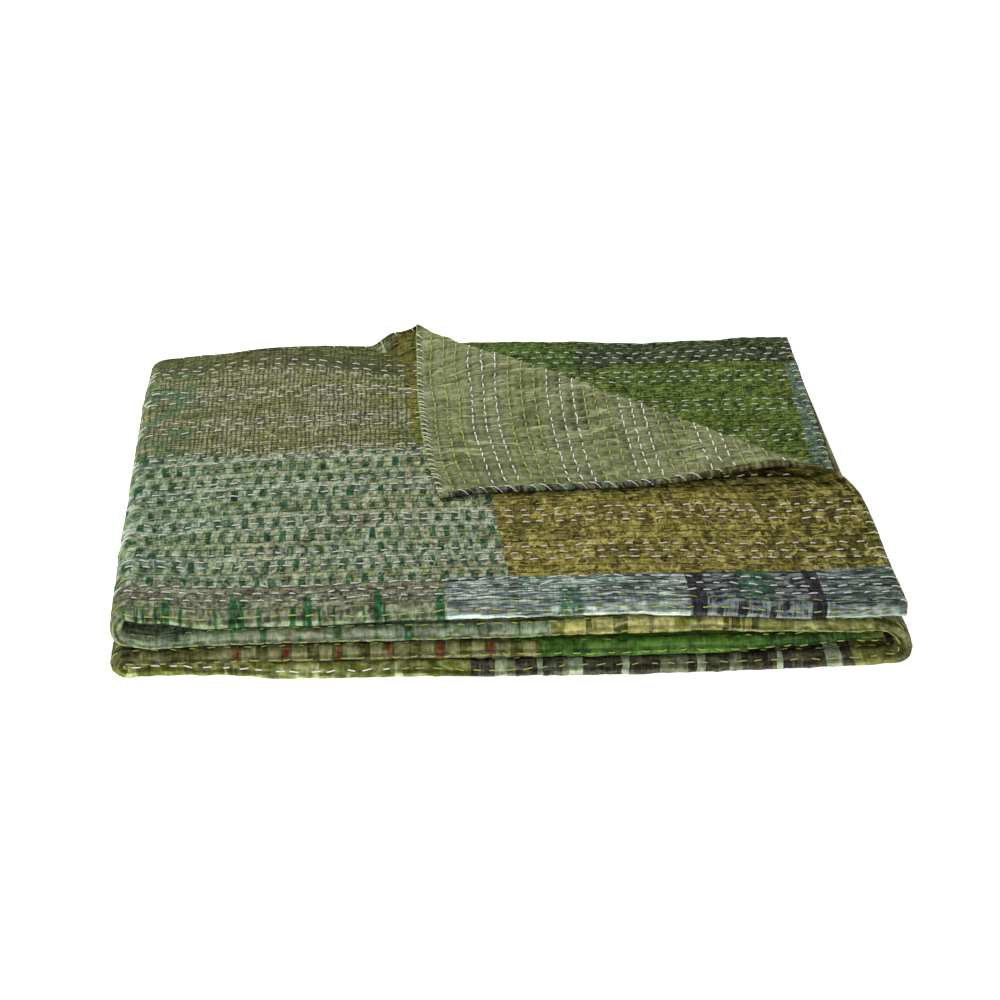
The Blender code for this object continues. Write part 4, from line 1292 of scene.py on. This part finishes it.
# White rows: the middle one of each three, on the outer ply and on the tucked one.
WHITE_MIDDLES = (2, 7, 13, 19, 25, 31, 37, 43, -53, -57, -63, -69, -75, -81)
# White stitches on the lower front folds run on from here, as in the photograph.
LOW_WHITE_FROM = 1.212
# A running stitch from end to end: its length in stitches, its height and its thickness.
STITCH_U = np.array([-0.5, -0.34, 0.0, 0.34, 0.5])
STITCH_LIFT = np.array([-0.00055, 0.00018, 0.00042, 0.00018, -0.00055])
STITCH_RADII = np.array([0.75, 1.0, 1.05, 1.0, 0.75]) * THREAD_RADIUS
FACE_STITCH, REVERSE_STITCH = 0.0052, 0.0070
STITCH_SLANT = 0.0022
STITCH_STRAY = 0.0030
HEM_MARGIN = 0.004

# Whipped hems: (which thread, hem, from, to, pitch, lean, reach, seed).
WHIPS = (
    ("lime", "s", 1.030, CLOTH_WIDTH - 0.004, 0.0150, 0.0060, 0.0030, 1.0),
    ("white", "s", 1.000, CLOTH_WIDTH - 0.004, 0.0104, 0.0056, 0.0028, 2.0),
    ("white", "s", ACROSS[4] - 0.004, ACROSS[4] + 0.105, 0.0120, -0.0030, 0.0036, 2.0),
    ("white", "t", 0.004, 0.262, 0.0074, -0.0088, 0.0034, 3.0),
    ("lime", "t", 0.006, 0.262, 0.0090, -0.0060, 0.0022, 4.0),
    ("white", "t", 0.270, 0.440, 0.0110, 0.0040, 0.0034, 5.0),
    ("white", "s", 0.160, 0.392, 0.0105, 0.0032, 0.0036, 6.0),
    ("lime", "s", 0.166, 0.392, 0.0230, -0.0040, 0.0036, 7.0),
)
# A whipped stitch from the face to the reverse: inwards from the hem in reaches, height in half
# thicknesses of the cloth, and its share of the lean.
WHIP_PROFILE = (
    (1.0, 1.15, -0.30), (0.45, 1.50, -0.15), (-0.10, 0.90, 0.0), (-0.24, 0.0, 0.15),
    (-0.10, -1.00, 0.35), (0.45, -1.75, 0.70), (1.0, -1.20, 1.0),
)
# A green thread that lies in the whipped hem of the turned corner: its run and its points.
CORD_FROM, CORD_TO, CORD_POINTS = 0.060, 0.262, 80
CORD_OUT = 0.0007


def unit(vectors):
    return vectors / (np.linalg.norm(vectors, axis=-1, keepdims=True) + 1e-12)


def tubes(name, routes, radii, material):
    """One piece of many short thread tubes. routes is (tubes, points, 3), radii is (points,)."""
    count, length = routes.shape[:2]
    tangent = unit(np.gradient(routes, axis=1))
    upright = np.zeros_like(tangent)
    upright[..., 2] = 1.0
    upright[np.abs(tangent[..., 2]) > 0.9] = (0.0, 1.0, 0.0)
    sideways = unit(np.cross(tangent, upright))
    turn = (np.arange(RING) * 2 * math.pi / RING)[:, None]
    ring = sideways[:, :, None] * np.cos(turn) + np.cross(sideways, tangent)[:, :, None] * np.sin(turn)
    points = routes[:, :, None] + ring * np.asarray(radii)[:, None, None]
    faces = []
    for first in range(0, count * length * RING, length * RING):
        last = first + (length - 1) * RING
        for low in range(first, last, RING):
            for r in range(RING):
                n = (r + 1) % RING
                faces.append((low + r, low + n, low + RING + n, low + RING + r))
        faces += [tuple(range(first + RING - 1, first - 1, -1)), tuple(range(last, last + RING))]
    mesh = smooth_mesh(name, points.reshape(-1, 3), faces)
    mesh.materials.append(material)
    return placed(name, mesh)


def is_white(s, row):
    """Which stitches are white: three rows in six, and on the lower front folds as in the photograph."""
    white = np.isin(row, [m + k for m in WHITE_MIDDLES for k in (-1, 0, 1)])
    on_front = (row > -5) & (row < 3) & (s > ALONG[1])
    return np.where(on_front, (s > LOW_WHITE_FROM) & (s < ALONG[5]), white)


def stitch_shows(s, t, side):
    if side == REVERSE:
        return (s < ALONG[1]) & (t > ACROSS[4]) & (past_flat(s, t) > 0.002) & (t < CLOTH_WIDTH - 0.002)
    return face_shows(s, t, left=0.0, front=0.002, hem=0.003, past=0.010, below=0.001, above=0.006,
                      tucked=0.0, revealed=-0.004, turns=0.0)


def running_stitches():
    """Flat places of every running stitch that shows: rows of (s, row, side)."""
    found = []
    first_row = math.ceil((0.09 - ROW_FROM) / ROW_PITCH)
    last_row = math.floor((CLOTH_WIDTH + CORNER_SAG - ROW_FROM) / ROW_PITCH)
    numbers = np.arange(0, int(CLOTH_LENGTH / STITCH_PITCH) + 1)
    for row in range(first_row, last_row + 1):
        stray = (scatter(numbers + row * 131.0, 2.0) - 0.5) * STITCH_STRAY
        s = (numbers + stitch_phase(row)) * STITCH_PITCH + stray
        for side in (FRONT_FACE, REVERSE):
            here = s if side == FRONT_FACE else s + STITCH_PITCH / 2
            shown = stitch_shows(here, row_run(row, here), side)
            shown = shown & (here > HEM_MARGIN) & (here < CLOTH_LENGTH - HEM_MARGIN)
            found += [(a, row, side) for a in here[shown]]
    return np.array(found)


def stitch_routes(stitches):
    s, row, side = stitches.T
    key = np.round(s * 1e4) + row * 17.0
    length = np.where(side > 0, FACE_STITCH, REVERSE_STITCH) * (0.72 + 0.52 * scatter(key, 21.0))
    slant = (scatter(key, 22.0) - 0.5) * STITCH_SLANT
    points_s = s[:, None] + STITCH_U * length[:, None]
    points_t = row_run(row[:, None], points_s) + slant[:, None] * STITCH_U
    routes = np.empty(points_s.shape + (3,))
    for way in (FRONT_FACE, REVERSE):
        mine = side == way
        h, _ = surface(points_s[mine], points_t[mine], way)
        routes[mine] = fold(points_s[mine], points_t[mine], h + way * STITCH_LIFT)
    return routes


def whip_stitches(hem, start, end, pitch, lean, reach, seed):
    """Flat points (s, t, h) of whipped stitches over a hem."""
    k = np.arange(int((end - start) / pitch))[:, None]
    wobble = scatter(k * 3.1 + seed, 5.0) - 0.5
    size = 0.8 + 0.5 * scatter(k * 1.7 + seed, 6.0)
    inwards, height, leaning = np.array(WHIP_PROFILE).T
    at = start + (k + 0.5 + 0.4 * wobble) * pitch + lean * size * leaning
    away = inwards * (reach * size)
    h = np.broadcast_to(height * (CLOTH / 2), at.shape)
    return np.stack([away, at, h] if hem == "s" else [at, CLOTH_WIDTH - away, h], -1)


def cord_route():
    s = np.linspace(CORD_FROM, CORD_TO, CORD_POINTS)
    waver = noise(s / 0.006, s * 0.0, 9.0) - 0.5
    return fold(s, np.full(CORD_POINTS, CLOTH_WIDTH + CORD_OUT), waver * CLOTH * 0.8)[None]


def thread_material(name, shade, pale):
    looks = Looks(name, 0.7, 0.15)
    place = looks.add("ShaderNodeTexCoord").outputs["Object"]
    twist = looks.add("ShaderNodeTexNoise", Vector=place, Scale=1400.0).outputs["Fac"]
    return looks.cover(looks.mix(twist, shade, pale), twist, 0.4, 0.0002)


def add_stitches():
    white = thread_material("white_thread", (253, 246, 230), (255, 254, 246))
    lime = thread_material("lime_thread", (150, 160, 70), (196, 204, 112))
    green = thread_material("green_thread", (92, 150, 70), (132, 186, 96))
    stitches = running_stitches()
    pale = is_white(stitches[:, 0], stitches[:, 1])
    under = stitches[:, 2] == REVERSE
    pieces = [
        tubes("running_stitches_white", stitch_routes(stitches[pale]), STITCH_RADII, white),
        tubes("running_stitches_lime", stitch_routes(stitches[~pale & ~under]), STITCH_RADII * 0.85, lime),
        tubes("reverse_stitches_lime", stitch_routes(stitches[~pale & under]), STITCH_RADII * 1.25, lime),
    ]
    for thread, material in (("white", white), ("lime", lime)):
        flat = np.concatenate([whip_stitches(*row[1:]) for row in WHIPS if row[0] == thread])
        radii = np.full(len(WHIP_PROFILE), THREAD_RADIUS * 0.72)
        pieces.append(tubes(f"whipped_stitches_{thread}", fold(*np.moveaxis(flat, -1, 0)), radii, material))
    pieces.append(tubes("hem_thread_green", cord_route(), np.full(CORD_POINTS, THREAD_RADIUS), green))
    return pieces


# ---------------------------------------------------------------- the studio
FLOOR_HALF = 6.0
# Lights: (name, place, size, power).
LIGHTS = (
    ("key_light", (-0.9, 1.3, 1.25), 0.7, 34.0),
    ("front_light", (-0.3, -1.8, 0.60), 1.2, 10.0),
)
WHITE = (1.0, 1.0, 1.0, 1.0)
PALE_FLOOR = (0.93, 0.93, 0.93, 1.0)


def add_studio():
    mesh = bpy.data.meshes.new("studio_floor")
    corners = [(x * FLOOR_HALF, y * FLOOR_HALF, 0) for x, y in ((-1, -1), (1, -1), (1, 1), (-1, 1))]
    mesh.from_pydata(corners, [], [(0, 1, 2, 3)])
    looks = Looks("studio_floor", 0.9, 0.1)
    looks.give(("Base Color", PALE_FLOOR), ("Emission Color", WHITE), ("Emission Strength", 0.85))
    mesh.materials.append(looks.material)
    placed("studio_floor", mesh)

    world = bpy.data.worlds.new("studio")
    world.use_nodes = True
    background = world.node_tree.nodes["Background"]
    background.inputs["Color"].default_value = WHITE
    background.inputs["Strength"].default_value = 0.28
    bpy.context.scene.world = world
    for name, place, size, power in LIGHTS:
        data = bpy.data.lights.new(name, "AREA")
        data.size = size
        data.energy = power
        light = placed(name, data)
        light.location = place
        light.rotation_euler = Vector(place).to_track_quat("Z", "Y").to_euler()
    bpy.context.scene.view_settings.view_transform = "Standard"


quilt_looks = cloth_materials()
cloth = placed("quilt_cloth", cloth_mesh([material.name for material in quilt_looks]))
for material in quilt_looks:
    cloth.data.materials.append(material)
stitches = add_stitches()
for piece in [cloth, *stitches]:
    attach(piece, "root")
    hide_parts("quilt")
add_studio()
